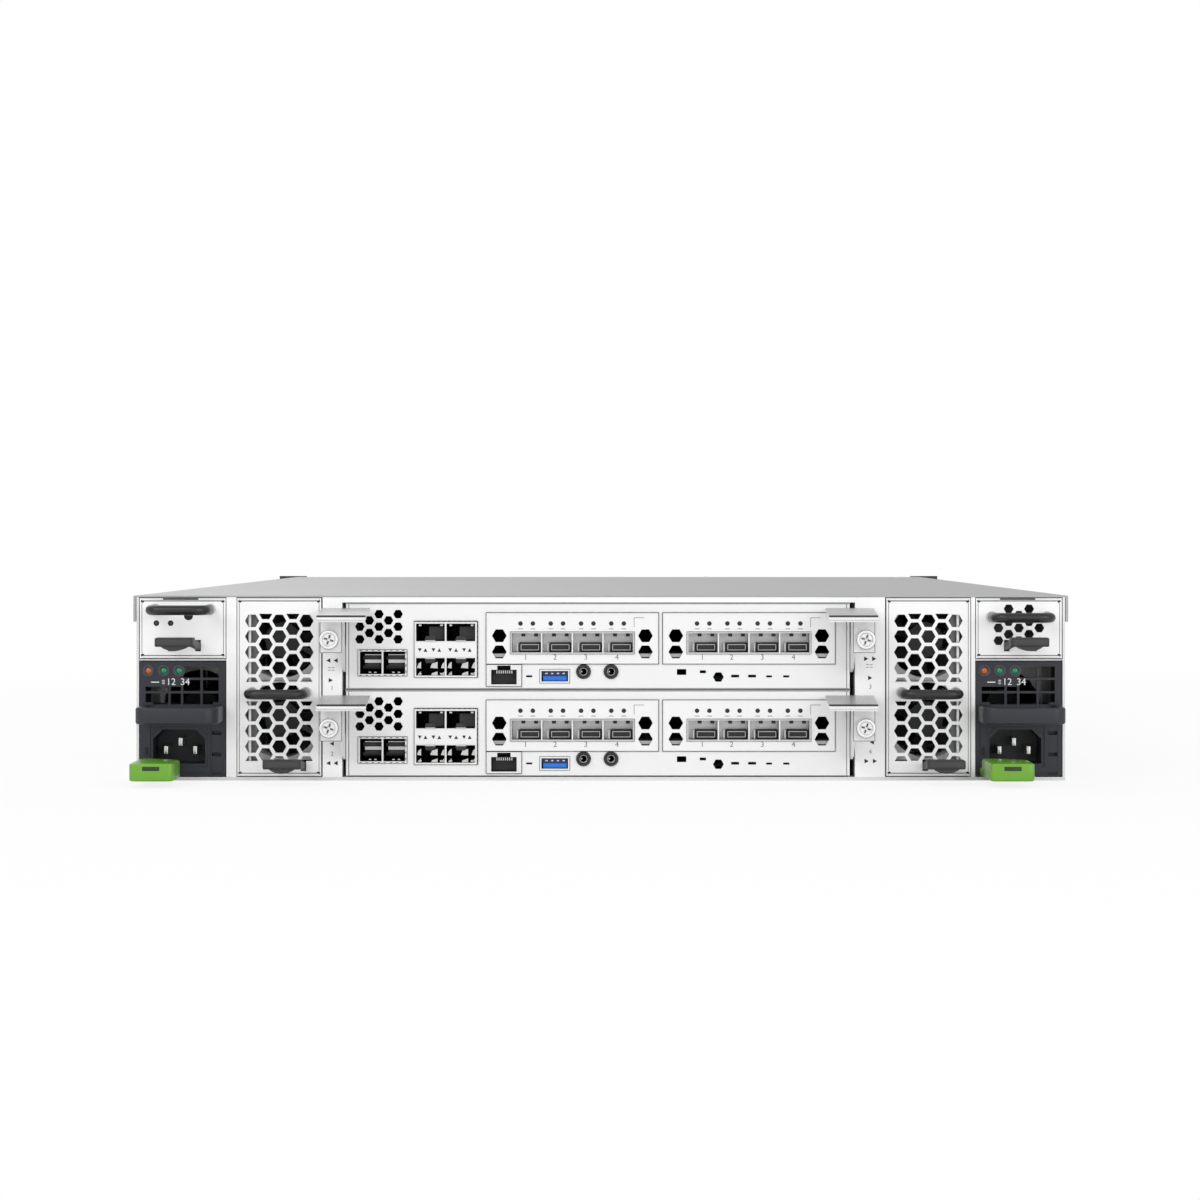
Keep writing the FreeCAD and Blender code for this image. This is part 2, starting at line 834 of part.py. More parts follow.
def port_block(level, x, z, width, tall, reach, cavities, stop):
    """Cage that stands slightly proud of the face, with blind cavities (x, z, width, height)."""
    y0 = rear_y - cage_proud
    y1 = rear_y + reach
    block = face_box(level, x, z, width, tall, y0, y1)
    tools = [face_box(level, cx, cz, cw, ch, y0, y1 - stop) for cx, cz, cw, ch in cavities]
    return block.cut(tools)


def sas_cage(level):
    """Two mini-SAS ports side by side, each with two contact tongues."""
    wide = (sas_width - 3 * sas_wall) / 2
    cavities = [(sas_x + sas_wall + n * (wide + sas_wall), sas_z + sas_wall, wide,
                 sas_height - 2 * sas_wall) for n in range(2)]
    cage = port_block(level, sas_x, sas_z, sas_width, sas_height, sas_depth, cavities, sas_wall)
    tongues = []
    for cx, cz, cw, ch in cavities:
        for spread in (-sas_tongue_spread, sas_tongue_spread):
            z = cz + ch / 2 + spread - sas_tongue_height / 2
            tongues.append(face_box(level, cx + sas_tongue_margin, z, cw - 2 * sas_tongue_margin,
                                    sas_tongue_height, rear_y + sas_tongue_setback,
                                    rear_y + sas_depth - sas_wall))
    return joined([cage] + tongues)


def sfp_cage(level):
    """Two columns and two rows of transceiver ports with a solid band between the rows."""
    wide = (sfp_width - 3 * sfp_wall) / 2
    cavities = []
    for n in range(2):
        x = sfp_x + sfp_wall + n * (wide + sfp_wall)
        cavities.append((x, sfp_z + sfp_wall, wide, sfp_port_height))
        cavities.append((x, sfp_z + sfp_height - sfp_wall - sfp_port_height, wide, sfp_port_height))
    return port_block(level, sfp_x, sfp_z, sfp_width, sfp_height, sfp_depth, cavities, sfp_stop)


def network_socket(level):
    """Square network socket with the stepped opening for the plug's catch."""
    x = net_x + (net_width - net_open_width) / 2
    step_x = net_x + (net_width - net_step_width) / 2
    z = net_z + net_floor
    cavities = [(x, z, net_open_width, net_open_height),
                (step_x, z + net_open_height, net_step_width, net_step_height)]
    return port_block(level, net_x, net_z, net_width, net_height, net_depth, cavities, socket_stop)


def usb_socket(level):
    """USB socket with its contact tongue."""
    wide = usb_width - 2 * usb_wall
    tall = usb_height - 2 * usb_wall
    shell = port_block(level, usb_x, usb_z, usb_width, usb_height, net_depth,
                       [(usb_x + usb_wall, usb_z + usb_wall, wide, tall)], socket_stop)
    tongue = face_box(level, usb_x + usb_wall + usb_tongue_gap,
                      usb_z + usb_wall + tall - usb_tongue - usb_tongue_gap,
                      wide - 2 * usb_tongue_gap, usb_tongue,
                      rear_y + usb_tongue_setback, rear_y + net_depth - socket_stop)
    return joined([shell, tongue])


def jack_socket(level, x):
    """Round jack with a bore."""
    cx = controller_x + x
    cz = controller_low(level) + jack_z
    y0 = rear_y - cage_proud
    y1 = rear_y + net_depth
    body = outline_xz(ring_points(cx, cz, jack_radius, jack_sides), y0, y1)
    bore = outline_xz(ring_points(cx, cz, jack_bore_radius, jack_bore_sides), y0, y1 - socket_stop)
    return body.cut(bore)


def controller_ports(level):
    jacks = [jack_socket(level, x) for x in jack_x]
    return Part.makeCompound([sas_cage(level), network_socket(level), usb_socket(level)] + jacks)


def interface_module(level, slot):
    """Interface module: face plate, four-port cage with its cores, and the carrier board."""
    left = module_x + slot * module_pitch
    back = rear_y + face_sheet
    face = face_box(level, left, module_z, module_width, module_height, rear_y - cage_proud, back)
    cuts = []
    for z in module_hex_z:
        for x in (module_hex_x, module_width - module_hex_x):
            cuts.append(hexagon(controller_x + left + x, controller_low(level) + module_z + z,
                                module_hex_flat, rear_y - cage_proud, back))
    cage_x = left + module_cage_x
    cage_z = module_z + module_cage_z
    wide = (module_cage_width - (module_ports + 1) * module_cage_wall) / module_ports
    tall = module_cage_height - 2 * module_cage_wall
    y0 = rear_y - 2 * cage_proud
    y1 = rear_y + module_cage_depth
    cage = face_box(level, cage_x, cage_z, module_cage_width, module_cage_height, y0, y1)
    face = face.cut(cuts)
    cavities = []
    cores = []
    for n in range(module_ports):
        x = cage_x + module_cage_wall + n * (wide + module_cage_wall)
        low = cage_z + module_cage_wall
        stop = y1 - module_cage_stop
        cavities.append(face_box(level, x, low, wide, tall, y0, stop))
        cores.append(face_box(level, x + module_core_margin, low, wide - 2 * module_core_margin,
                              module_core_height, y1 - module_core_depth, stop))
    board = face_box(level, left + module_board_margin, cage_z - module_board_sheet,
                     module_width - 2 * module_board_margin, module_board_sheet,
                     back, rear_y + module_depth)
    return joined([face, cage]).cut(cavities).multiFuse(cores + [board]).removeSplitter()


# Ejector levers and their captive screws

def lever_places(side):
    """Places across X of the lever on one side: plate, leg, grip and screw."""
    edge = controller_x if side < 0 else controller_right
    plate_near = edge + side * joint_gap
    plate_far = plate_near + side * lever_sheet
    leg_far = plate_far + side * lever_leg_width
    grip_far = leg_far + side * (lever_grip_width - lever_grip_over - lever_leg_width - lever_sheet)
    grip_near = grip_far - side * lever_grip_width
    screw = plate_far + side * screw_leg_shift
    return plate_near, plate_far, leg_far, grip_near, grip_far, screw


def ejector_lever(level, side):
    """Side plate on the pivot, leg plate for the screw, and the sloping grip on top."""
    near, far, leg_far, grip_near, grip_far, screw = lever_places(side)
    low = controller_low(level)
    pivot_y = rear_y + lever_pivot_back
    pivot_z = low + lever_pivot_z
    front = rear_y - lever_reach
    grip_y0 = rear_y - lever_grip_reach
    grip_y1 = rear_y - lever_grip_back
    slope = (lever_grip_back_z - lever_grip_front_z) / (lever_grip_reach - lever_grip_back)
    top_at_front = low + lever_grip_back_z - slope * (lever_reach - lever_grip_back)
    heel = lever_heel / 2
    side_points = [(front, top_at_front - lever_grip_sheet / 2),
                   (grip_y1, low + lever_grip_back_z - lever_grip_sheet / 2),
                   (grip_y1, low + lever_leg_low + heel),
                   (rear_y + lever_shoulder_back, pivot_z + heel),
                   (pivot_y, pivot_z + heel),
                   (pivot_y + heel, pivot_z),
                   (pivot_y, pivot_z - heel),
                   (rear_y, pivot_z - heel),
                   (rear_y - lever_belly_reach, pivot_z - heel / 2),
                   (rear_y - lever_toe_reach, low + lever_leg_low - lever_toe_drop),
                   (front, low + lever_leg_low + lever_toe_rise)]
    plate = outline_yz(side_points, min(near, far), max(near, far))
    bore = many_sided_x(pivot_y, pivot_z, lever_pin_radius + pin_gap, lever_pin_sides,
                        min(near, far), max(near, far))
    leg = box(min(near, leg_far), max(near, leg_far), front, front + lever_sheet,
              low + lever_leg_low, top_at_front - lever_grip_sheet / 2)
    neck = many_sided(screw, low + screw_z, screw_neck_radius + pin_gap, lever_pin_sides,
                      front, front + lever_sheet)
    grip_points = [(grip_y0, low + lever_grip_front_z - lever_grip_sheet * 2),
                   (grip_y0, low + lever_grip_front_z),
                   (grip_y1, low + lever_grip_back_z),
                   (grip_y1, low + lever_grip_back_z - lever_grip_sheet),
                   (grip_y0 + lever_grip_sheet, low + lever_grip_front_z - lever_grip_sheet),
                   (grip_y0 + lever_grip_sheet, low + lever_grip_front_z - lever_grip_sheet * 2)]
    grip = outline_yz(grip_points, min(grip_near, grip_far), max(grip_near, grip_far))
    return joined([plate.cut(bore), leg.cut(neck), grip])


def captive_screw(level, side):
    """Captive screw: head, neck through the lever's leg, collar behind it, and the shank."""
    x = lever_places(side)[5]
    z = controller_low(level) + screw_z
    leg_front = rear_y - lever_reach
    leg_back = leg_front + lever_sheet
    collar_back = leg_back + joint_gap + screw_collar_length
    head = outline_xz(ring_points(x, z, screw_head_radius, screw_head_sides),
                      rear_y - screw_head_reach, leg_front - joint_gap)
    neck = outline_xz(ring_points(x, z, screw_neck_radius, screw_neck_sides),
                      leg_front - joint_gap, leg_back + joint_gap)
    collar = outline_xz(ring_points(x, z, screw_collar_radius, screw_neck_sides),
                        leg_back + joint_gap, collar_back)
    shank = outline_xz(ring_points(x, z, screw_shank_radius, screw_shank_sides),
                       collar_back, rear_y - joint_gap)
    return joined([head, neck, collar, shank])


# Coated wire handles and sprung latches

def wire_handle(x, z, width):
    """U-shaped handle of round wire, bent at its two front corners and rooted in the face."""
    radius = wire_thickness / 2
    half = width / 2 - radius
    front = rear_y - wire_reach + radius
    bend = wire_bend
    turns = [math.pi / 2 * n / wire_bend_steps for n in range(wire_bend_steps + 1)]
    left = [Vec(x - half + bend * (1 - math.cos(a)), front + bend * (1 - math.sin(a)), z)
            for a in turns]
    right = [Vec(2 * x - p.x, p.y, z) for p in reversed(left)]
    points = [Vec(x - half, rear_y, z)] + left + right + [Vec(x + half, rear_y, z)]
    rings = []
    for n, point in enumerate(points):
        before = points[max(n - 1, 0)]
        after = points[min(n + 1, len(points) - 1)]
        along = Vec(0, 0, 0)
        for start, stop in ((before, point), (point, after)):
            if start != stop:
                along = along + (stop - start).normalize()
        along = along.normalize()
        across = Vec(-along.y, along.x, 0)
        turn = (point - before).getAngle(after - point) if 0 < n < len(points) - 1 else 0
        wide = radius / math.cos(turn / 2)
        corners = [point + across * (wide * math.cos(a)) + Vec(0, 0, radius * math.sin(a))
                   for a in [2 * math.pi * k / wire_sides for k in range(wire_sides)]]
        rings.append(corners)
    faces = [flat_face(rings[0]), flat_face(rings[-1])]
    for first, second in zip(rings, rings[1:]):
        for k in range(wire_sides):
            m = (k + 1) % wire_sides
            faces.append(flat_face([first[k], first[m], second[m], second[k]]))
    return Part.Solid(Part.Shell(faces))


def latch_places(x):
    return x - latch_width / 2, x + latch_width / 2


def wide_latch(x, z):
    """Latch of a fan or battery module: two arms from the face carry a bar with a round bump."""
    x0, x1 = latch_places(x)
    front = rear_y - latch_reach
    bar_back = front + latch_bar_depth
    bar = box(x0, x1, front, bar_back, z - latch_bar_height / 2, z + latch_bar_height / 2)
    under = z - latch_bar_height / 2
    bump_x0 = x0 + latch_bump_inset
    bump_x1 = x1 - latch_bump_inset
    bump = outline_xz([(bump_x0, under), (bump_x0 + latch_bump_slope, under - latch_bump_drop),
                       (bump_x1 - latch_bump_slope, under - latch_bump_drop), (bump_x1, under)],
                      front, bar_back)
    root = rear_y + latch_root
    pieces = [bar, bump]
    for low_x in (x0 + latch_arm_inset, x1 - latch_arm_inset - latch_arm_width):
        arm = [(bar_back, z + latch_arm_height / 2), (root, z - latch_arm_height / 2),
               (root + latch_arm_height / 2, z - latch_arm_height),
               (root, z - 1.5 * latch_arm_height), (bar_back, z - latch_arm_height / 2)]
        blade = outline_yz(arm, low_x, low_x + latch_arm_width)
        pieces.append(blade.cut(many_sided_x(root, z - latch_arm_height, latch_pin_radius + pin_gap,
                                             latch_pin_sides, low_x, low_x + latch_arm_width)))
    return joined(pieces)


def latch_pin_bar(x, z):
    """Cross pin of a latch and the two brackets that hold it behind the face plate."""
    x0, x1 = latch_places(x)
    root = rear_y + latch_root
    pin_z = z - latch_arm_height
    inner0 = x0 + latch_arm_inset + latch_arm_width + joint_gap
    inner1 = x1 - latch_arm_inset - latch_arm_width - joint_gap
    pin = pin_x(root, pin_z, latch_pin_radius, latch_pin_sides,
                x0 + latch_arm_inset, x1 - latch_arm_inset)
    block = box(inner0, inner1, rear_y + face_sheet, root + latch_pin_radius,
                pin_z - latch_pin_radius, pin_z + latch_pin_radius)
    return joined([pin, block])


def latch_opening(x, z):
    """Cut in the face plate for the latch arms and their swing."""
    x0, x1 = latch_places(x)
    gap = joint_gap
    return [box(low_x - gap, low_x + latch_arm_width + gap, rear_y, rear_y + face_sheet,
                z - latch_slot_drop, z)
            for low_x in (x0 + latch_arm_inset, x1 - latch_arm_inset - latch_arm_width)]


# Fan modules

def fan_grille(x):
    """Honeycomb holes of the face plate, clipped to its window and to the two handle pads."""
    y1 = rear_y + face_sheet
    window = box(x - comb_half_width, x + comb_half_width, rear_y, y1, comb_bottom_z, comb_top_z)
    inner = comb_half_width - comb_pitch_x - comb_web / 2
    for side in (-1, 1):
        edge = x + side * comb_half_width
        step = x + side * inner
        window = window.cut(box(min(edge, step), max(edge, step), rear_y, y1, pad_low_z, pad_high_z))
    holes = []
    for column in range(comb_columns):
        shift = column % 2
        z = comb_first_z + comb_pitch_z * shift / 2
        cx = x + (column - (comb_columns - 1) / 2) * comb_pitch_x
        while z > comb_bottom_z - comb_flat / 2:
            holes.append(hexagon(cx, z, comb_flat, rear_y, y1))
            z -= comb_pitch_z
    return Part.makeCompound(holes).common(window).Solids


def fan_housing(x):
    """Module sheet folded into a face plate, floor, roof and one side wall, open inside."""
    half = fan_width / 2
    back = rear_y + face_sheet
    y1 = rear_y + fan_length
    face = box(x - half, x + half, rear_y, back, module_low, module_top)
    latch_x = x + fan_latch_shift
    face = face.cut(fan_grille(x) + latch_opening(latch_x, fan_latch_z))
    floor = box(x - half, x + half, back, y1, module_low, module_low + module_sheet)
    roof = box(x - half, x + half, back, y1, module_top - module_sheet, module_top)
    left = box(x - half, x - half + module_sheet, back, y1, module_low, module_top)
    pin = latch_pin_bar(latch_x, fan_latch_z)
    return joined([face, floor, roof, left, pin])


def stator(x, z, bore, y0, y1):
    """Fan hub on three arms that reach into the frame, with the bore for the shaft."""
    hub = outline_xz(ring_points(x, z, fan_hub_radius, hub_sides), y0, y1)
    half = stator_arm_height / 2
    arms = []
    for n in range(stator_arms):
        arm = box(x, x + bore + stator_arm_overlap, y1 - stator_arm_depth, y1, z - half, z + half)
        arm.rotate(Vec(x, 0, z), Vec(0, 1, 0), stator_turn + 360 * n / stator_arms)
        arms.append(arm)
    shaft_bore = many_sided(x, z, fan_shaft_radius + pin_gap, shaft_sides, y0, y1)
    return joined([hub] + arms).cut(shaft_bore)


def fan_frame(x, z):
    """Square fan frame with its bore and the stator at its back."""
    half = fan_frame_size / 2
    y0 = rear_y + face_sheet + fan_face_gap
    y1 = y0 + fan_frame_depth
    frame = box(x - half, x + half, y0, y1, z - half, z + half)
    frame = frame.cut(outline_xz(ring_points(x, z, fan_bore_radius, bore_sides), y0, y1))
    return joined([frame, stator(x, z, fan_bore_radius, fan_hub_back(), y1)])


def fan_hub_back():
    return rear_y + face_sheet + fan_face_gap + fan_frame_depth - fan_stator_depth


def rotor(x, z, tip, hub_back):
    """Rotor: hub, pitched blades that widen outwards, and the shaft that runs in the stator."""
    y1 = hub_back - joint_gap
    y0 = y1 - rotor_depth
    middle = (y0 + y1) / 2
    parts = [outline_xz(ring_points(x, z, fan_hub_radius, hub_sides), y0, y1),
             outline_xz(ring_points(x, z, fan_shaft_radius, shaft_sides), y1,
                        hub_back + rotor_shaft_length)]
    root = fan_hub_radius - fan_blade_overlap
    swing = fan_blade_chord / 2 * math.cos(math.radians(fan_blade_pitch))
    end = math.sqrt(tip ** 2 - (swing + fan_blade_thickness) ** 2)
    half = fan_blade_chord / 2
    root_half = fan_blade_root_chord / 2
    outline = [(x + root, z - root_half), (x + end, z - half), (x + end, z + half),
               (x + root, z + root_half)]
    for n in range(fan_blades):
        blade = outline_xz(outline, middle - fan_blade_thickness / 2, middle + fan_blade_thickness / 2)
        blade.rotate(Vec(x, middle, z), Vec(1, 0, 0), fan_blade_pitch)
        blade.rotate(Vec(x, 0, z), Vec(0, 1, 0), 360 * n / fan_blades)
        parts.append(blade)
    return joined(parts)


# Battery units

def battery_case(x, vented):
    """Battery unit: folded case with its face, and the battery pack inside."""
    half = supply_width / 2
    y1 = rear_y + battery_length
    back = rear_y + face_sheet
    outer = box(x - half, x + half, rear_y, y1, battery_low, module_top)
    inner = box(x - half + module_sheet, x + half - module_sheet, back, y1 - module_sheet,
                battery_low + module_sheet, module_top - module_sheet)
    latch_x = x + battery_latch_shift
    case = outer.cut([inner] + latch_opening(latch_x, battery_latch_z))
    if vented:
        case = case.cut(battery_vents(x))
    case = joined([case, latch_pin_bar(latch_x, battery_latch_z)])
    pack = box(x - half + pack_side_gap, x + half - pack_side_gap, rear_y + pack_setback,
               y1 - pack_back_gap, battery_low + module_sheet, module_top - pack_side_gap)
    return Part.makeCompound([case, pack])


def battery_vents(x):
    """Staggered hexagonal vents of the right-hand battery unit, left out where the latch arms pass."""
    holes = []
    middle = (battery_vent_columns - 1) // 2
    for column in range(battery_vent_columns):
        cx = x + (column - middle) * battery_vent_pitch_x
        for row in range(battery_vent_rows):
            stagger = row + (column + 1) % 2 / 2
            z = module_top - battery_vent_drop - stagger * battery_vent_pitch_z
            top_corner = abs(column - middle) == middle and row == 0
            if not top_corner and clear_of_arms(cx, z, x + battery_latch_shift):
                holes.append(hexagon(cx, z, battery_vent_flat, rear_y, rear_y + face_sheet))
    return holes


def clear_of_arms(cx, z, latch_x):
    """True where a vent at (cx, z) lies above the slots of the latch arms or beside them."""
    x0, x1 = latch_places(latch_x)
    half = latch_arm_width / 2
    needed = battery_vent_flat / math.sqrt(3) + half + joint_gap
    above = z - battery_vent_flat / 2 > battery_latch_z + joint_gap
    beside = all(abs(cx - arm) > needed for arm in (x0 + latch_arm_inset + half,
                                                    x1 - latch_arm_inset - half))
    return above or beside


# Power supplies

def supply_case(x):
    """Metal case behind the bezel, open at the rear, with the fan ring inside."""
    half = supply_width / 2
    y0 = rear_y + supply_bezel_depth
    y1 = rear_y + supply_length
    low = module_low
    high = module_low + supply_height
    outer = box(x - half, x + half, y0, y1, low, high)
    inner = box(x - half + module_sheet, x + half - module_sheet, y0, y1 - module_sheet,
                low + module_sheet, high - module_sheet)
    case = outer.cut(inner)
    ring_y = rear_y + supply_fan_setback
    ring_back = ring_y + supply_ring_depth
    ring = box(x - half + module_sheet, x + half - module_sheet, ring_y, ring_back,
               low + module_sheet, high - module_sheet)
    bore = supply_fan_radius + fan_tip_gap
    ring = ring.cut(outline_xz(ring_points(x, supply_fan_z, bore, bore_sides), ring_y, ring_back))
    return joined([case, ring, stator(x, supply_fan_z, bore, supply_hub_back(), ring_back)])


def supply_hub_back():
    return rear_y + supply_fan_setback + supply_ring_depth - supply_stator_depth


def inlet_outline(x, grow):
    """Outline of the inlet: a rectangle with its two upper corners chamfered."""
    half = inlet_width / 2 + grow
    low = inlet_z - inlet_height / 2 - grow
    high = inlet_z + inlet_height / 2 + grow
    cut = inlet_chamfer
    return [(x - half, low), (x + half, low), (x + half, high - cut), (x + half - cut, high),
            (x - half + cut, high), (x - half, high - cut)]


def supply_bezel(x):
    """Moulded rear of the supply: grille above, inlet opening below, light holes at the top left."""
    half = supply_width / 2
    low = module_low
    high = module_low + supply_height
    y1 = rear_y + supply_bezel_depth
    block = box(x - half, x + half, rear_y, y1, low, high)
    face_back = rear_y + bezel_wall
    duct = box(x - half + bezel_wall, x + half - bezel_wall, face_back, y1,
               handle_low_z + handle_band, high - bezel_wall)
    inlet_x = x + inlet_shift
    tools = [duct, outline_xz(inlet_outline(inlet_x, inlet_rim + pin_gap), rear_y, y1)]
    for n in range(light_count):
        lx = x - half + light_first_inset + n * light_pitch
        tools.append(many_sided(lx, light_z, light_bore_radius, light_sides, rear_y, face_back))
    for row in range(grille_rows):
        top = grille_top_z - row * grille_row_pitch
        left = x - half + grille_left_inset
        for column, width in enumerate(grille_column_widths):
            full = row == grille_rows - 1 or column >= grille_short_columns
            bottom = top - grille_row_height
            if full:
                tools.append(box(left, left + width, rear_y, face_back, bottom, top))
            elif row > 0:
                tools.append(box(left, left + width, rear_y, face_back,
                                 bottom, bottom + grille_short_height))
            left += width + grille_bar
    x0 = x - half
    root_low = green_low_z - joint_gap
    root_high = green_low_z + green_root_height + joint_gap
    tools.append(box(x0 + green_inset - joint_gap,
                     x0 + green_inset + green_root_width + green_swing, rear_y,
                     rear_y + green_root + green_root_width / 2 + joint_gap, root_low, root_high))
    for rise in recess_rises:
        right = x + half - recess_margin
        tools.append(box(right - recess_width, right, rear_y, rear_y + recess_depth,
                         low + rise, low + rise + recess_height))
    bezel = block.cut(tools)
    pin = round_z(x0 + green_inset + green_root_width / 2, rear_y + green_root, green_pin_radius,
                  root_low, root_high)
    return joined([bezel, pin])


def supply_inlet(x):
    """Inlet shell seated in the bezel, with its three flat pins."""
    inlet_x = x + inlet_shift
    y0 = rear_y
    y1 = rear_y + inlet_depth + inlet_back
    shell = outline_xz(inlet_outline(inlet_x, inlet_rim), y0, y1)
    shell = shell.cut(outline_xz(inlet_outline(inlet_x, 0), y0, y0 + inlet_depth))
    pins = []
    for dx, dz in ((-inlet_pin_spread, -inlet_pin_low), (inlet_pin_spread, -inlet_pin_low),
                   (0, inlet_pin_high)):
        cx = inlet_x + dx
        cz = inlet_z + dz
        pins.append(box(cx - inlet_pin_thickness / 2, cx + inlet_pin_thickness / 2,
                        y0 + inlet_pin_recess, y0 + inlet_depth,
                        cz - inlet_pin_width / 2, cz + inlet_pin_width / 2))
    return joined([shell] + pins)


def supply_handle(x):
    """Flat U-shaped band with rounded front corners, rooted in the bezel's face."""
    half = handle_width / 2
    front = rear_y - handle_reach
    bend = handle_bend
    near = bend * handle_bend_share
    z0 = handle_low_z
    z1 = handle_low_z + handle_band
    outer = [(x - half, rear_y), (x - half, front + bend), (x - half + near, front + near),
             (x - half + bend, front), (x + half - bend, front),
             (x + half - near, front + near), (x + half, front + bend), (x + half, rear_y)]
    inner_half = half - handle_sheet
    inner_front = front + handle_sheet
    inner_bend = handle_inner_bend
    inner = [(x + inner_half, rear_y), (x + inner_half, inner_front + inner_bend),
             (x + inner_half - inner_bend, inner_front), (x - inner_half + inner_bend, inner_front),
             (x - inner_half, inner_front + inner_bend), (x - inner_half, rear_y)]
    return outline_xy(outer + inner, z0, z1)


def supply_latch(x):
    """Green sprung latch: wide tab outside, narrow root inside the bezel on its pin."""
    x0 = x - supply_width / 2 + green_inset
    z0 = green_low_z
    z1 = green_low_z + green_height
    front = rear_y - green_reach
    neck_y = rear_y - green_neck
    x1 = x0 + green_width
    outline = [(x0, neck_y), (x0, front + green_corner), (x0 + green_corner, front),
               (x1 - green_corner, front), (x1, front + green_corner),
               (x1, neck_y - green_shoulder), (x0 + green_root_width, neck_y)]
    tab = outline_xy(outline, z0, z1)
    root_x = x0 + green_root_width / 2
    root_z = z0 + green_root_height
    tongue = box(x0, x0 + green_root_width, neck_y - green_overlap, rear_y + green_root, z0, root_z)
    eye = outline_xy(ring_points(root_x, rear_y + green_root, green_root_width / 2, green_eye_sides),
                     z0, root_z)
    tab = joined([tab, tongue, eye])
    slot_x = x0 + (green_width - green_slot_width) / 2
    slot_z = z0 + green_slot_rise
    tab = tab.cut(box(slot_x, slot_x + green_slot_width, front, front + green_slot_depth,
                      slot_z, slot_z + green_slot_height))
    return tab.cut(round_z(root_x, rear_y + green_root, green_pin_radius + pin_gap, z0, root_z))


def main():
    os.makedirs("parts", exist_ok=True)
    save("chassis_tray", chassis_tray())
    save("top_cover", top_cover())
    save("bay_frame", bay_frame())
    save("midplane", Part.makeCompound([midplane(), power_boards()]))
    save("drive_cage", drive_cage())
    save("rack_ears", Part.makeCompound([rack_ear(-1), rack_ear(1)]))
    others = range(1, drive_count)
    save("drive_1_carrier", drive_carrier(0))
    save("drive_1_lever", drive_lever(0))
    save("drive_carriers", Part.makeCompound([drive_carrier(n) for n in others]))
    save("drive_levers", Part.makeCompound([drive_lever(n) for n in others]))
    for level, label in ((0, "lower"), (1, "upper")):
        name = "controller_" + label + "_"
        save(name + "housing", Part.makeCompound([controller_face(level), controller_tray(level)]))
        save(name + "board", controller_board(level))
        save(name + "ports", controller_ports(level))
        save(name + "sfp", sfp_cage(level))
        save(name + "module_a", interface_module(level, 0))
        save(name + "module_b", interface_module(level, 1))
        for side, hand in ((-1, "left"), (1, "right")):
            save(name + "lever_" + hand, ejector_lever(level, side))
            save(name + "screw_" + hand, captive_screw(level, side))
    for hand, low_x in (("left", left_fan_x), ("right", right_fan_x)):
        name = "fan_" + hand + "_"
        x = low_x + fan_width / 2
        save(name + "housing", fan_housing(x))
        save(name + "frames", Part.makeCompound([fan_frame(x, fan_lower_z), fan_frame(x, fan_upper_z)]))
        tip = fan_bore_radius - fan_tip_gap
        save(name + "rotor_lower", rotor(x, fan_lower_z, tip, fan_hub_back()))
        save(name + "rotor_upper", rotor(x, fan_upper_z, tip, fan_hub_back()))
        save(name + "handle", wire_handle(x, fan_handle_z, fan_handle_width))
        save(name + "latch", wide_latch(x + fan_latch_shift, fan_latch_z))
    for hand, low_x in (("left", left_supply_x), ("right", right_supply_x)):
        x = low_x + supply_width / 2
        name = "battery_" + hand + "_"
        handle_z = left_battery_handle_z if hand == "left" else right_battery_handle_z
        save(name + "case", battery_case(x, hand == "right"))
        save(name + "handle", wire_handle(x, handle_z, battery_handle_width))
        save(name + "latch", wide_latch(x + battery_latch_shift, battery_latch_z))
        name = "supply_" + hand + "_"
        save(name + "case", supply_case(x))
        save(name + "bezel", supply_bezel(x))
        save(name + "inlet", supply_inlet(x))
        save(name + "handle", supply_handle(x))
        save(name + "latch", supply_latch(x))
        save(name + "rotor", rotor(x, supply_fan_z, supply_fan_radius, supply_hub_back()))


main()
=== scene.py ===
import math
from fnmatch import fnmatch

import bpy
import numpy as np
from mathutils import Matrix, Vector


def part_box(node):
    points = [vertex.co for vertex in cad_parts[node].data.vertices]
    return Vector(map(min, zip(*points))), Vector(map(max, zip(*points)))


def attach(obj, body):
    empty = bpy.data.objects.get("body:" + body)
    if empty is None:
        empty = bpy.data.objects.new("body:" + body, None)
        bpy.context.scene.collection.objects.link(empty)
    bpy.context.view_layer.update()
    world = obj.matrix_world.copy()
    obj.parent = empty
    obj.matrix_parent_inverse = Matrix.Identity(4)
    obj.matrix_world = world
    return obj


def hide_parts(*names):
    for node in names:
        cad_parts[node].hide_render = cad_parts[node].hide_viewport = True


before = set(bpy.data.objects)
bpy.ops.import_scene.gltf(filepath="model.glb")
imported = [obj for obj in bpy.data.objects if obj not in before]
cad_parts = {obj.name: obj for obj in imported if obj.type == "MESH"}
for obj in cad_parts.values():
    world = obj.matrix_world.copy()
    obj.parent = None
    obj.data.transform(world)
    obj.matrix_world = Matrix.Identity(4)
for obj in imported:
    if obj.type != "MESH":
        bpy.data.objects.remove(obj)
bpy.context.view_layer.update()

# Every shape below is drawn in millimetres: x to the right as the photograph shows it, y into the
# part from its rear plane, z up from its base
mm = 0.001
rear_plane = Vector((0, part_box("chassis_tray")[0].y, 0))


def box(node):
    """Lower and upper corner of a CAD node, in the drawing's millimetres."""
    return [(corner - rear_plane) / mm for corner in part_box(node)]


hands = ("left", "right")
decks = {level: box("controller_" + level + "_housing") for level in ("lower", "upper")}
fans = {hand: box("fan_" + hand + "_housing") for hand in hands}
batteries = {hand: box("battery_" + hand + "_case") for hand in hands}
plates = {kind + "_" + hand: places[hand]
          for kind, places in (("fan", fans), ("battery", batteries)) for hand in hands}
supplies = {hand: box("supply_" + hand + "_bezel") for hand in hands}
lever_pin_reach = 1.45
deck_left = decks["lower"][0].x + lever_pin_reach
deck_right = decks["lower"][1].x - lever_pin_reach

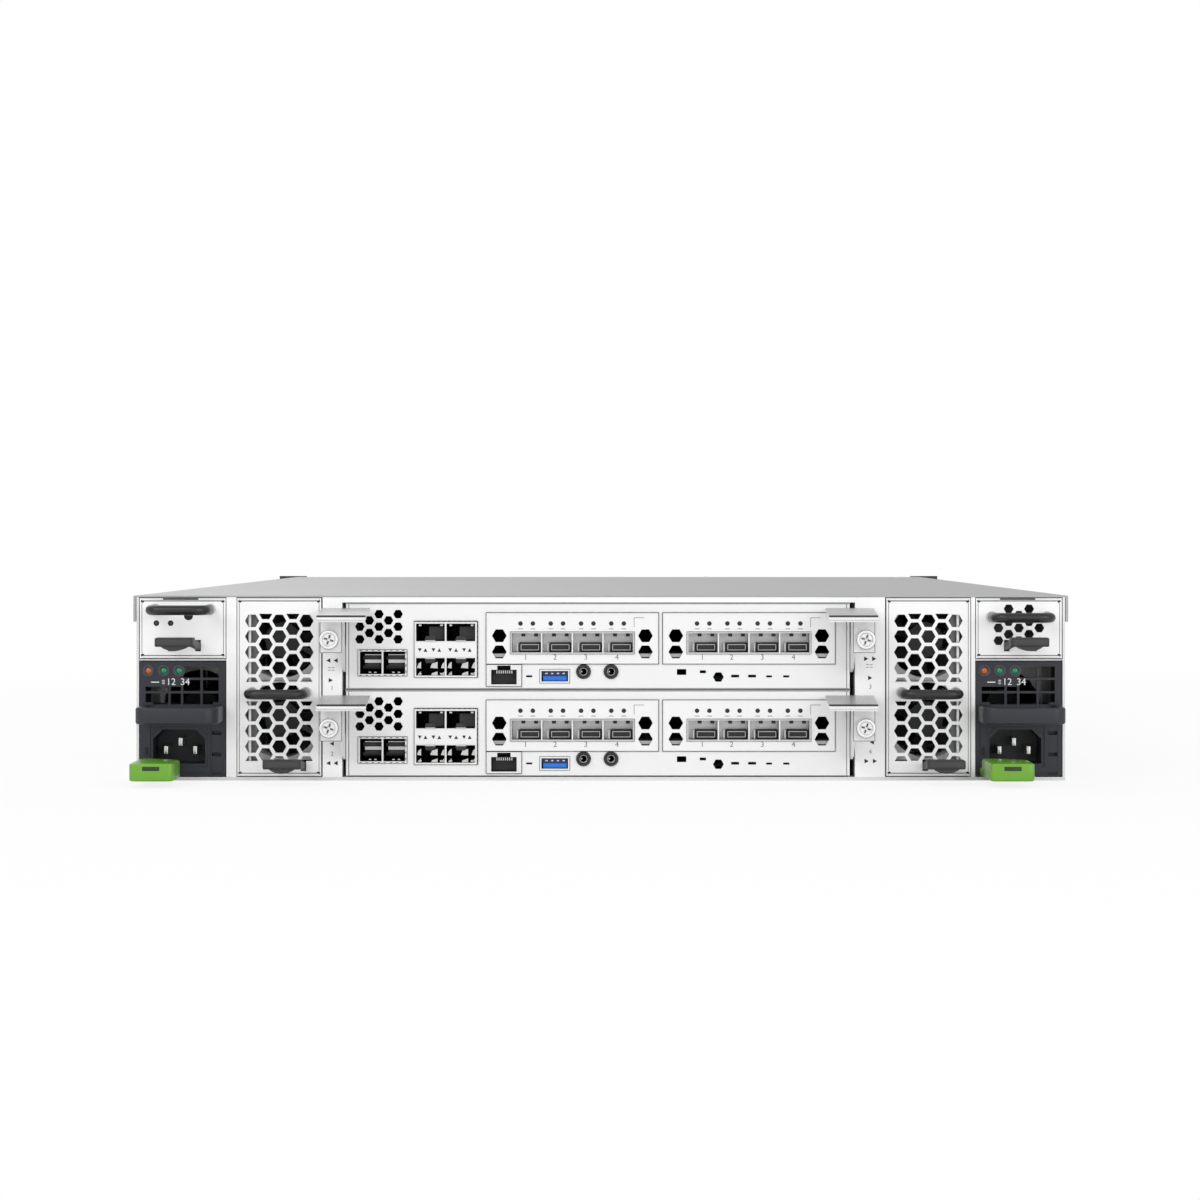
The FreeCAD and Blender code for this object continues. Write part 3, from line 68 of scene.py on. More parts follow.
# Depths and sizes that several pieces share, and the turn in radians of a screw's recess
face = -0.5
lever_leg = 20.0
wire_radius = 2.35
wire_bend = 5.0
print_thickness = 0.05
recess_turn = 0.3


# Surfaces as arrays: a shape is its points, its quads and its flat end caps

def grid_quads(rows, columns):
    """Quads between rows of points, where the last column joins the first."""
    r, c = np.meshgrid(np.arange(rows - 1), np.arange(columns), indexing="ij")
    n = (c + 1) % columns
    corners = [r * columns + c, r * columns + n, (r + 1) * columns + n, (r + 1) * columns + c]
    return np.stack(corners, -1).reshape(-1, 4)


def lofted(rings):
    """Closed skin over rings of points, shaped (rings, points, 3), with a flat cap at each end."""
    rings = np.asarray(rings, float)
    rows, columns = rings.shape[:2]
    ends = [np.arange(columns)[::-1], (rows - 1) * columns + np.arange(columns)]
    return rings.reshape(-1, 3), grid_quads(rows, columns), ends


def turned_out(shape):
    """The same shape with its faces turned over."""
    points, quads, ends = shape
    return points, quads[:, ::-1], [end[::-1] for end in ends]


def merged(shapes):
    """One shape from several."""
    totals = np.cumsum([0] + [len(shape[0]) for shape in shapes])
    points = np.concatenate([shape[0] for shape in shapes])
    quads = np.concatenate([shape[1] + total for shape, total in zip(shapes, totals)])
    ends = [end + total for shape, total in zip(shapes, totals) for end in shape[2]]
    return points, quads, ends


def mirrored(shape, x):
    """The shape mirrored at the plane of constant x."""
    points = shape[0].copy()
    points[:, 0] = 2 * x - points[:, 0]
    return turned_out((points, shape[1], shape[2]))


def corner_outline(width, height, radius, steps=4):
    """Rectangle with rounded corners about the origin: each corner is a quarter of a circle."""
    a = width / 2 - radius
    b = height / 2 - radius
    turns = np.linspace(0, math.pi / 2, steps + 1)
    arcs = []
    for quarter, (sx, sz) in enumerate(((1, 1), (-1, 1), (-1, -1), (1, -1))):
        angle = turns + quarter * math.pi / 2
        arcs.append(np.stack([sx * a + radius * np.cos(angle), sz * b + radius * np.sin(angle)], -1))
    return np.concatenate(arcs)


def eased(low, high, radius, steps):
    """Places from low to high, each with how far a quarter circle draws the skin in there."""
    turn = np.linspace(0, math.pi / 2, steps + 1)
    inset = radius * (1 - np.sin(turn))
    along = radius * (1 - np.cos(turn))
    places = np.concatenate([low + along, high - along[::-1]])
    return zip(places, np.concatenate([inset, inset[::-1]]))


def soft_block(low, high, radius, axis=1, steps=3, corner=None):
    """Block with rounded edges: rounded rectangles whose inset follows a quarter circle at each end."""
    low = np.asarray(low, float)
    high = np.asarray(high, float)
    across, up = [k for k in range(3) if k != axis]
    size = high - low
    middle = (low + high) / 2
    corner = radius if corner is None else corner
    rings = []
    for place, gap in eased(low[axis], high[axis], radius, steps):
        section = corner_outline(size[across] - 2 * gap, size[up] - 2 * gap,
                                 max(corner - gap, 0.1 * corner))
        ring = np.zeros((len(section), 3))
        ring[:, across] = middle[across] + section[:, 0]
        ring[:, up] = middle[up] + section[:, 1]
        ring[:, axis] = place
        rings.append(ring)
    shape = lofted(rings)
    return turned_out(shape) if axis == 1 else shape


def leftwards(outline):
    """The outline as an array whose points run anticlockwise."""
    outline = np.asarray(outline, float)
    ahead = np.roll(outline, -1, axis=0)
    area = np.sum(outline[:, 0] * ahead[:, 1] - outline[:, 1] * ahead[:, 0])
    return outline[::-1] if area < 0 else outline


def slab(outline, y0, y1):
    """Flat outline of (x, z) points carried from y0 to y1."""
    return turned_out(lofted([np.insert(leftwards(outline), 1, y, axis=1) for y in (y0, y1)]))


def rounded(outline, radii, steps=6):
    """Outline with each corner V drawn as the curve (1-t)^2 A + 2t(1-t) V + t^2 B.

    A and B lie on the sides before and after the corner, a radius away from it.
    """
    outline = np.asarray(outline, float)
    share = np.linspace(0, 1, steps + 1)[:, None]
    curves = []
    for before, corner, after, radius in zip(np.roll(outline, 1, axis=0), outline,
                                             np.roll(outline, -1, axis=0), radii):
        start = corner + (before - corner) / np.linalg.norm(before - corner) * radius
        stop = corner + (after - corner) / np.linalg.norm(after - corner) * radius
        curves.append((1 - share) ** 2 * start + 2 * share * (1 - share) * corner + share ** 2 * stop)
    return np.concatenate(curves)


def cushion(outline, z0, z1, radius, steps=4):
    """Outline of (x, y) points carried from z0 to z1, drawn in along a quarter circle at both ends."""
    outline = np.asarray(outline, float)
    middle = (outline.max(0) + outline.min(0)) / 2
    half = (outline.max(0) - outline.min(0)) / 2
    rings = []
    for z, gap in eased(z0, z1, radius, steps):
        flat = middle + (outline - middle) * (1 - gap / half)
        rings.append(np.column_stack([flat, np.full(len(flat), z)]))
    return lofted(rings)


def plank(outline, x0, x1):
    """Flat outline of (y, z) points carried from x0 to x1."""
    return lofted([np.insert(leftwards(outline), 0, x, axis=1) for x in (x0, x1)])


def block(x0, x1, y0, y1, z0, z1):
    """Square block between two places on each axis."""
    return slab([(x0, z0), (x1, z0), (x1, z1), (x0, z1)], y0, y1)


def circle(x, z, radius, sides):
    """Outline of points round a centre."""
    turn = 2 * math.pi * np.arange(sides) / sides
    return np.stack([x + radius * np.cos(turn), z + radius * np.sin(turn)], -1)


def turned(profile, x, z, sides):
    """Profile of (radius, y) points turned about the line along Y through (x, z)."""
    turn = 2 * math.pi * np.arange(sides) / sides
    radius = np.array([p[0] for p in profile])[:, None]
    y = np.array([p[1] for p in profile])[:, None]
    rings = np.stack([x + radius * np.cos(turn), y + 0 * turn, z + radius * np.sin(turn)], -1)
    return turned_out(lofted(rings))


def hoop(profile, x, z, sides=64):
    """Closed profile of (radius, y) points turned about the line along Y through (x, z), open inside."""
    points = turned(profile, x, z, sides)[0]
    return points, grid_quads(len(profile) + 1, sides)[:, ::-1] % len(points), []


def carried(section, route):
    """Section of (across, up) points carried along a level route."""
    up = np.array([0.0, 0.0, 1.0])
    step = np.gradient(route, axis=0)
    step /= np.linalg.norm(step, axis=1)[:, None]
    across = np.cross(step, up)
    across /= np.linalg.norm(across, axis=1)[:, None]
    rings = (route[:, None, :] + section[None, :, 0, None] * across[:, None, :]
             + section[None, :, 1, None] * up)
    return turned_out(lofted(rings))


def bent_route(x, z, half, back, tip, bend, steps=8):
    """U-shaped route in a level plane: out from the face, across, and back, with round corners."""
    turn = np.linspace(0, math.pi / 2, steps + 1)
    left = np.stack([x - half + bend * (1 - np.cos(turn)), tip + bend * (1 - np.sin(turn)),
                     np.full(steps + 1, z)], -1)
    right = left[::-1].copy()
    right[:, 0] = 2 * x - right[:, 0]
    start = np.array([[x - half, back, z], [x - half, tip + 1.2 * bend, z]])
    end = start[::-1].copy()
    end[:, 0] = 2 * x - end[:, 0]
    middle = np.array([[x - half * 0.3, tip, z], [x + half * 0.3, tip, z]])
    return np.concatenate([start, left, middle, right, end])


def written(text, size, x, z, y):
    """Plain digits as thin raised print, centred at (x, z), made from the built-in letter shapes."""
    curve = bpy.data.curves.new("digits", "FONT")
    curve.body = text
    curve.size = size * mm
    curve.align_x = "CENTER"
    curve.align_y = "CENTER"
    holder = bpy.data.objects.new("digits", curve)
    bpy.context.scene.collection.objects.link(holder)
    mesh = bpy.data.meshes.new_from_object(holder)
    flat = np.zeros(len(mesh.vertices) * 3)
    mesh.vertices.foreach_get("co", flat)
    flat = flat.reshape(-1, 3)
    faces = [np.array(polygon.vertices) for polygon in mesh.polygons]
    bpy.data.objects.remove(holder)
    bpy.data.curves.remove(curve)
    bpy.data.meshes.remove(mesh)
    points = np.stack([x + flat[:, 0] / mm, np.full(len(flat), y), z + flat[:, 1] / mm], -1)
    return points, np.zeros((0, 4), int), faces


# Finishes

def feed(tree, node, inputs):
    """Sets inputs of a node to values, or links them to other nodes' outputs."""
    for key, value in inputs.items():
        if isinstance(value, bpy.types.NodeSocket):
            tree.links.new(value, node.inputs[key])
        else:
            node.inputs[key].default_value = value
    return node


def wired(tree, kind, inputs, **settings):
    """New node with its settings and inputs."""
    node = tree.nodes.new("ShaderNode" + kind)
    for name, value in settings.items():
        setattr(node, name, value)
    return feed(tree, node, inputs)


def object_pattern(tree, stretch, detail):
    """Noise on object coordinates in metres, stretched by a scale along each axis."""
    where = wired(tree, "TexCoord", {})
    mapping = wired(tree, "Mapping", {"Scale": np.broadcast_to(stretch, 3),
                                      "Vector": where.outputs["Object"]})
    return wired(tree, "TexNoise", {"Scale": 1.0, "Detail": detail,
                                    "Vector": mapping.outputs["Vector"]}).outputs["Fac"]


def finish(name, colour, metallic, roughness, grain, depth, mottle, coat=0.0):
    """Surface with a fine grain in its bump and roughness, and a slow drift in its colour."""
    material = bpy.data.materials.new(name)
    material.use_nodes = True
    tree = material.node_tree
    colour = np.broadcast_to(colour, 3)
    fine = object_pattern(tree, grain, 3.0)
    slow = object_pattern(tree, 35, 2.0)
    tone = wired(tree, "Mix", {"A": (*colour * (1 - mottle), 1), "Factor": slow,
                               "B": (*np.minimum(1.0, colour * (1 + mottle)), 1)}, data_type="RGBA")
    rough = wired(tree, "MapRange", {"From Min": 0.3, "From Max": 0.7, "To Min": roughness - 0.08,
                                     "To Max": roughness + 0.08, "Value": fine})
    bump = wired(tree, "Bump", {"Strength": depth, "Distance": 0.05 * mm, "Height": fine})
    feed(tree, tree.nodes["Principled BSDF"],
         {"Metallic": metallic, "Coat Weight": coat, "Base Color": tone.outputs["Result"],
          "Roughness": rough.outputs["Result"], "Normal": bump.outputs["Normal"]})
    return material


white_steel = finish("white_steel", 0.79, 0.05, 0.56, 2500, 0.10, 0.02)
# The face's white paint made lighter for the strips and posts between the bays: painted light against
# the shade of the levers above them
brightened_strip_steel = finish("brightened_strip_steel", 0.91, 0.0, 0.6, 2500, 0.10, 0.02)
# The same white made lighter for the fan plates: painted light against the weaker light they get than
# the face
brightened_plate_steel = finish("brightened_plate_steel", 0.88, 0.0, 0.6, 2500, 0.10, 0.02)
cover_steel = finish("cover_steel", (0.42, 0.42, 0.43), 0.75, 0.40, (60, 1500, 1500), 0.12, 0.03)
side_steel = finish("side_steel", 0.74, 0.45, 0.40, (60, 1500, 1500), 0.12, 0.03)
bright_steel = finish("bright_steel", 0.62, 0.9, 0.28, (200, 3000, 3000), 0.10, 0.03)
port_steel = finish("port_steel", 0.62, 0.85, 0.34, 2000, 0.10, 0.05)
pin_steel = finish("pin_steel", (0.72, 0.72, 0.70), 0.95, 0.22, 3000, 0.06, 0.02)
black_steel = finish("black_steel", (0.020, 0.020, 0.022), 0.0, 0.50, 4000, 0.5, 0.2)
black_coating = finish("black_coating", 0.008, 0.0, 0.36, 2500, 0.05, 0.2, coat=0.15)
grey_moulding = finish("grey_moulding", (0.055, 0.055, 0.057), 0.0, 0.48, 4500, 0.5, 0.08)
dark_moulding = finish("dark_moulding", (0.016, 0.0175, 0.026), 0.0, 0.46, 4500, 0.45, 0.08)
fan_moulding = finish("fan_moulding", (0.58, 0.58, 0.59), 0.0, 0.5, 3000, 0.2, 0.05)
shade_moulding = finish("shade_moulding", (0.20, 0.20, 0.205), 0.0, 0.5, 3000, 0.2, 0.05)
blade_moulding = finish("blade_moulding", (0.012, 0.012, 0.013), 0.0, 0.4, 3000, 0.2, 0.1)
green_moulding = finish("green_moulding", (0.135, 0.35, 0.022), 0.0, 0.34, 3500, 0.2, 0.05, coat=0.2)
# Darker grey for the skin over the lever grips' sloped tops: painted shade on the lever's white sheet
grip_top_shade = finish("grip_top_shade", 0.50, 0.6, 0.36, (1500, 200, 1500), 0.12, 0.03)
# Near-black green for the latch slot: painted shade inside the slot
slot_shade_green = finish("slot_shade_green", (0.014, 0.034, 0.004), 0.0, 0.5, 3500, 0.2, 0.05)
# Near black: painted shade in the lever creases, in the thumbscrews' ring grooves and cross recesses,
# and in the cover screws' cross recesses
recess_shade = finish("recess_shade", 0.03, 0.0, 0.5, (200, 3000, 3000), 0.1, 0.05)
screw_steel = finish("screw_steel", 0.80, 0.35, 0.34, 2000, 0.1, 0.03)
# Dark navy block in the USB cavity above the blue tongue: painted shade
navy_cavity_shade = finish("navy_cavity_shade", (0.012, 0.02, 0.10), 0.0, 0.35, 3500, 0.1, 0.05)
latch_moulding = finish("latch_moulding", (0.024, 0.024, 0.025), 0.0, 0.5, 4500, 0.5, 0.08)
latch_field = finish("latch_field", (0.036, 0.036, 0.037), 0.0, 0.5, 4500, 0.5, 0.08)
jack_moulding = finish("jack_moulding", (0.015, 0.015, 0.016), 0.0, 0.3, 3500, 0.2, 0.1)
ring_moulding = finish("ring_moulding", (0.045, 0.048, 0.06), 0.0, 0.4, 3500, 0.2, 0.1)
blue_moulding = finish("blue_moulding", (0.010, 0.16, 0.62), 0.0, 0.32, 3500, 0.1, 0.05)
board_green = finish("board_green", (0.012, 0.085, 0.045), 0.0, 0.4, 800, 0.4, 0.3)
# Black for print and dark parts, and also painted shade: slits and outlines round the port cages,
# modules and network socket, the module indicator holes, the plates' fold lines and corner notches, and
# the battery slots
black_parts_print_and_shade = finish("black_parts_print_and_shade", 0.012, 0.0, 0.6, 5000, 0.1, 0.1)
# Grey for print, and also painted shade: lines along the face and plate edges and the lever legs, and
# strips behind the gaps between the controllers and under the cover
grey_print_and_shade = finish("grey_print_and_shade", 0.15, 0.0, 0.6, 5000, 0.1, 0.1)
print_white = finish("print_white", (0.75, 0.76, 0.78), 0.0, 0.5, 5000, 0.1, 0.05)
# Black discs and bars: painted shade inside the battery unit's holes and the supply bezel's recesses
hole_shade_black = finish("hole_shade_black", 0.004, 0.0, 0.7, 5000, 0.1, 0.1)


def lamp_lens(name, colour):
    """Tinted lens of an indicator, slightly lit."""
    material = finish(name, colour, 0.0, 0.2, 6000, 0.1, 0.15, coat=0.5)
    feed(material.node_tree, material.node_tree.nodes["Principled BSDF"],
         {"Emission Color": (*colour, 1), "Emission Strength": 0.10})
    return material


orange_lens = lamp_lens("orange_lens", (0.42, 0.10, 0.02))
green_lens = lamp_lens("green_lens", (0.01, 0.20, 0.09))


def painted_front(name, paint, bare, limit, axis="Y"):
    """Painted where the part's own coordinate lies before the limit, and a second colour beyond it: bare
    metal, made dark on the battery cases and near black on the port cages as painted shade inside them.
    """
    material = finish(name, paint, 0.05, 0.5, 2500, 0.1, 0.02)
    tree = material.node_tree
    surface = tree.nodes["Principled BSDF"]
    painted = surface.inputs["Base Color"].links[0].from_socket
    where = wired(tree, "TexCoord", {})
    place = wired(tree, "SeparateXYZ", {0: where.outputs["Object"]})
    edge = limit * mm + getattr(rear_plane, axis.lower())
    beyond = wired(tree, "Math", {0: place.outputs[axis], 1: edge}, operation="GREATER_THAN").outputs[0]
    tone = wired(tree, "Mix", {"Factor": beyond, "A": painted, "B": (*np.broadcast_to(bare, 3), 1)},
                 data_type="RGBA")
    metal = wired(tree, "Math", {0: beyond, 1: 0.85}, operation="MULTIPLY")
    feed(tree, surface, {"Base Color": tone.outputs["Result"], "Metallic": metal.outputs[0]})
    return material


module_paint = painted_front("module_paint", 0.80, 0.42, -0.2)
board_paint = {level: painted_front("board_" + level, (0.012, 0.085, 0.045), (0.40, 0.41, 0.42),
                                    box("controller_" + level + "_board")[0].z + 4.2, "Z")
               for level in decks}
# The same white made lighter on the battery fronts, painted light against their weaker lighting; behind
# the front the bare metal is dark so that the vents read as shaded, a painted shade
battery_light_and_shade = painted_front("battery_light_and_shade", 0.93, 0.22, 0.3)
# Port cages: a light front, and near black behind it as painted shade on the insides of the cages
port_paint_and_shade = painted_front("port_paint_and_shade", 0.74, 0.05, 0.3)


def add_piece(name, shape, material, body, replaces=()):
    """Makes the mesh of a shape or a list of shapes in metres, and lets it ride on its body."""
    smooth_limit = math.radians(35)
    points, quads, ends = merged(shape) if isinstance(shape, list) else shape
    points = points * mm + np.array(rear_plane)
    mesh = bpy.data.meshes.new(name)
    mesh.from_pydata(points.tolist(), [], quads.tolist() + [end.tolist() for end in ends])
    mesh.update()
    mesh.materials.append(material)
    piece = bpy.data.objects.new(name, mesh)
    bpy.context.scene.collection.objects.link(piece)
    mesh.shade_smooth()
    mesh.set_sharp_from_angle(angle=smooth_limit)
    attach(piece, body)
    if replaces:
        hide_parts(*replaces)


def dress_frame():
    """Gives each CAD node the finish whose name pattern fits it."""
    table = ((side_steel, "chassis_tray", "drive_cage", "supply_*_case"),
             (cover_steel, "top_cover"),
             (brightened_strip_steel, "bay_frame"),
             (board_green, "midplane"),
             (black_steel, "rack_ears"),
             (dark_moulding, "drive_*carrier*", "supply_*_bezel", "supply_*_inlet", "supply_*_handle"),
             (grey_moulding, "drive_*lever*", "fan_*_latch", "battery_*_latch"),
             (white_steel, "controller_*_housing", "controller_*_lever_*"),
             (board_paint["lower"], "controller_lower_board"),
             (board_paint["upper"], "controller_upper_board"),
             (port_paint_and_shade, "controller_*_ports", "controller_*_sfp"),
             (module_paint, "controller_*_module_*"),
             (bright_steel, "controller_*_screw_*"),
             (brightened_plate_steel, "fan_*_housing"),
             (fan_moulding, "fan_*_frames"),
             (blade_moulding, "*_rotor*"),
             (black_coating, "fan_*_handle", "battery_*_handle"),
             (battery_light_and_shade, "battery_*_case"),
             (green_moulding, "supply_*_latch"))
    for name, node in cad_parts.items():
        for material, *patterns in table:
            if any(fnmatch(name, pattern) for pattern in patterns):
                node.data.materials.clear()
                node.data.materials.append(material)


# Coated wire handles

def wire_handles():
    """Round wire bent to a U, with a bare knurled end where it enters the face."""
    for body in plates:
        node = body + "_handle"
        low, high = box(node)
        half = (high.x - low.x) / 2 - wire_radius
        x = (low.x + high.x) / 2
        z = (low.z + high.z) / 2
        route = bent_route(x, z, half, 0, low.y + wire_radius, wire_bend)
        add_piece(node + "_wire", carried(circle(0, 0, wire_radius, 28), route), black_coating,
                  body, (node,))
        rim = wire_radius + 0.35
        start = -5.0
        profile = [(0.1 * rim, start), (0.8 * rim, start)]
        for step in range(9):
            profile.append((rim * (1.0 if step % 2 else 0.93), start + 0.3 + 0.5 * step))
        profile += [(rim, -0.05), (0.1 * rim, -0.05)]
        ends = [turned(profile, x + side * half, z, 32) for side in (-1, 1)]
        add_piece(node + "_ends", ends, bright_steel, body)


# Captive screws and ejector levers

def screw_shape(x, z, front, head_radius, leg_front, back):
    """Thumbscrew: knurled head whose face has a ring groove and a cross recess, on its stepped shank.

    The recess deepens where the distance to the nearer arm axis falls under the arm's half width.
    """
    sides = 160
    turn = 2 * math.pi * np.arange(sides) / sides

    def ring(radius, place):
        """Points round the axis at a radius and a depth."""
        return np.stack([x + radius * np.cos(turn), place + 0 * turn, z + radius * np.sin(turn)], -1)
    inner = np.linspace(0.02, 0.60, 26) * head_radius
    radius = inner[:, None] + 0 * turn
    tilt = turn + recess_turn
    off = np.minimum(np.abs(radius * np.sin(tilt)), np.abs(radius * np.cos(tilt)))
    arm = np.clip((0.72 - 0.10 * radius - off) / 0.22, 0, 1)
    reach = np.clip((2.55 - radius) / 0.4, 0, 1)
    depth = 1.1 * arm * reach
    rows = list(ring(radius, front + 0.25 + depth))
    knurl = 1 - 0.018 * (0.5 + 0.5 * np.cos(40 * turn))
    steps = [(0.61, 0.45, 0), (0.66, 0.45, 0), (0.68, 0.10, 0), (0.72, 0.0, 0), (0.88, 0.0, 0),
             (0.95, 0.15, 0), (0.985, 0.45, 0), (1.0, 0.9, 1), (1.0, 4.6, 1), (0.97, 5.3, 0)]
    for share, place, rough in steps:
        rows.append(ring(head_radius * share * (knurl if rough else 1), front + place))
    collar = leg_front + 6.0
    for radius, place in ((3.2, leg_front - 0.35), (3.2, leg_front + 1.45), (4.0, leg_front + 1.45),
                          (4.0, collar), (1.9, collar), (1.9, back), (0.2, back)):
        rows.append(ring(radius, place))
    return turned_out(lofted(rows))


def captive_screws():
    """Thumbscrews of the levers, with near-black rings and a cross on their heads: painted shade in the
    ring grooves and the cross recess.
    """
    for level in decks:
        for hand in hands:
            node = "controller_" + level + "_screw_" + hand
            low, high = box(node)
            x, y, z = (low.x + high.x) / 2, low.y, (low.z + high.z) / 2
            shape = screw_shape(x, z, y, (high.x - low.x) / 2, -lever_leg, high.y)
            add_piece(node + "_turned", shape, screw_steel, node, (node,))
            # Near-black rings and cross pieces: painted shade in the head's grooves and recess
            grooves = []
            for radius, width, place in ((3.18, 0.13, 0.32), (4.46, 0.10, 0.14)):
                grooves.append(hoop([(radius - width, y + place), (radius - width, y + place - 0.06),
                                     (radius + width, y + place - 0.06), (radius + width, y + place)],
                                    x, z))
            for turn in (-recess_turn, math.pi / 2 - recess_turn):
                for end in (-1, 1):
                    tip = np.array([math.cos(turn), math.sin(turn)]) * end
                    side = np.array([-tip[1], tip[0]])
                    corners = np.array([0.7 * tip - 0.28 * side, 2.15 * tip - 0.20 * side,
                                        2.15 * tip + 0.20 * side, 0.7 * tip + 0.28 * side])
                    outline = np.array([x, z]) + corners
                    grooves.append(slab(outline, y + 1.25, y + 1.30))
            add_piece(node + "_grooves", grooves, recess_shade, node)


def lever_lips():
    """Rolled lip along the grip's front edge, and painted shade: a near-black strip in the crease above
    it, a darker grey skin on the grip's sloped top, and grey lines along the edges of the leg.
    """
    for level in decks:
        for hand in hands:
            node = "controller_" + level + "_lever_" + hand
            deck = decks[level][0].z
            grip_low = deck_left - 11.2 if hand == "left" else deck_right - 11.8
            grip_high = grip_low + 23.0
            y = box(node)[0].y
            lip = soft_block((grip_low - 0.2, y - 0.9, deck + 33.3),
                             (grip_high + 0.2, y + 0.5, deck + 34.9), 0.65, 0, 5)
            add_piece(node + "_lip", lip, screw_steel, node)
            # Near-black strip in the crease above the lip: painted shade
            crease = soft_block((grip_low, y - 0.35, deck + 34.9),
                                (grip_high, y + 0.6, deck + 35.75), 0.2, 0, 2)
            add_piece(node + "_crease", crease, recess_shade, node)
            back = -2
            skin = 0.12
            # Darker grey skin over the grip's sloped top: painted shade
            top = plank([(y, deck + 35.2), (back, deck + 38.4), (back, deck + 38.4 + skin),
                         (y, deck + 35.2 + skin)], grip_low, grip_high)
            add_piece(node + "_top", top, grip_top_shade, node)
            side = -1 if hand == "left" else 1
            near = (deck_left if hand == "left" else deck_right) + side * 0.35
            far = near + side * 10.1
            leg = -lever_leg
            foot = deck + 17.8
            # Grey lines along the leg's edges: painted shade of the gap round the leg
            lines = [block(min(near, far), max(near, far), leg - print_thickness, leg, foot, foot + 0.3)]
            for x in (near, far):
                lines.append(block(x - 0.15, x + 0.15, leg - print_thickness, leg, foot, deck + 33.4))
            add_piece(node + "_leg_edge_shade", lines, grey_print_and_shade, node)


# Painted shade: grey strips behind the gaps over and between the controllers

def gap_shade_strips():
    """Flat grey strips behind the gap of the cover and the gap between the two controllers, painted
    shade in the gaps.
    """
    low, high = decks["lower"][0], decks["upper"][1]
    strips = [block(low.x + 1, high.x - 1, 0.5, 0.9, foot, top)
              for foot, top in ((decks["lower"][1].z, decks["upper"][0].z), (high.z, high.z + 0.45))]
    add_piece("gap_shade_strips", strips, grey_print_and_shade, "chassis")


# Controller faces

def deck_spot(level, u, w):
    """Place on a controller's face, from its left and lower edges in millimetres."""
    return deck_left + u, decks[level][0].z + w


def deck_rect(level, u0, u1, w0, w1, y0=face - print_thickness, y1=face):
    """Block between two places on a controller's face, a thin print where no depth is given."""
    x0, z0 = deck_spot(level, u0, w0)
    x1, z1 = deck_spot(level, u1, w1)
    return block(x0, x1, y0, y1, z0, z1)


def deck_soft(level, u0, u1, w0, w1, y0, y1, radius):
    """Block with rounded edges between two places on a controller's face."""
    x0, z0 = deck_spot(level, u0, w0)
    x1, z1 = deck_spot(level, u1, w1)
    return soft_block((x0, y0, z0), (x1, y1, z1), radius)


def deck_frame(level, u0, u1, w0, w1, line, y0=face - print_thickness, y1=face):
    """Rectangular line of the given width, as four bars."""
    return merged([deck_rect(level, u0, u1, w1 - line, w1, y0, y1),
                   deck_rect(level, u0, u1, w0, w0 + line, y0, y1),
                   deck_rect(level, u0, u0 + line, w0 + line, w1 - line, y0, y1),
                   deck_rect(level, u1 - line, u1, w0 + line, w1 - line, y0, y1)])


def triangle(x, z, size, direction, y0, y1):
    """Small solid triangle that points along one of four directions."""
    along = {"right": (1, 0), "left": (-1, 0), "up": (0, 1), "down": (0, -1)}[direction]
    tip = np.array([x, z]) + np.array(along) * size / 2
    base = np.array([x, z]) - np.array(along) * size / 2
    side = np.array([-along[1], along[0]]) * size * 0.55
    return slab([tip, base + side, base - side], y0, y1)


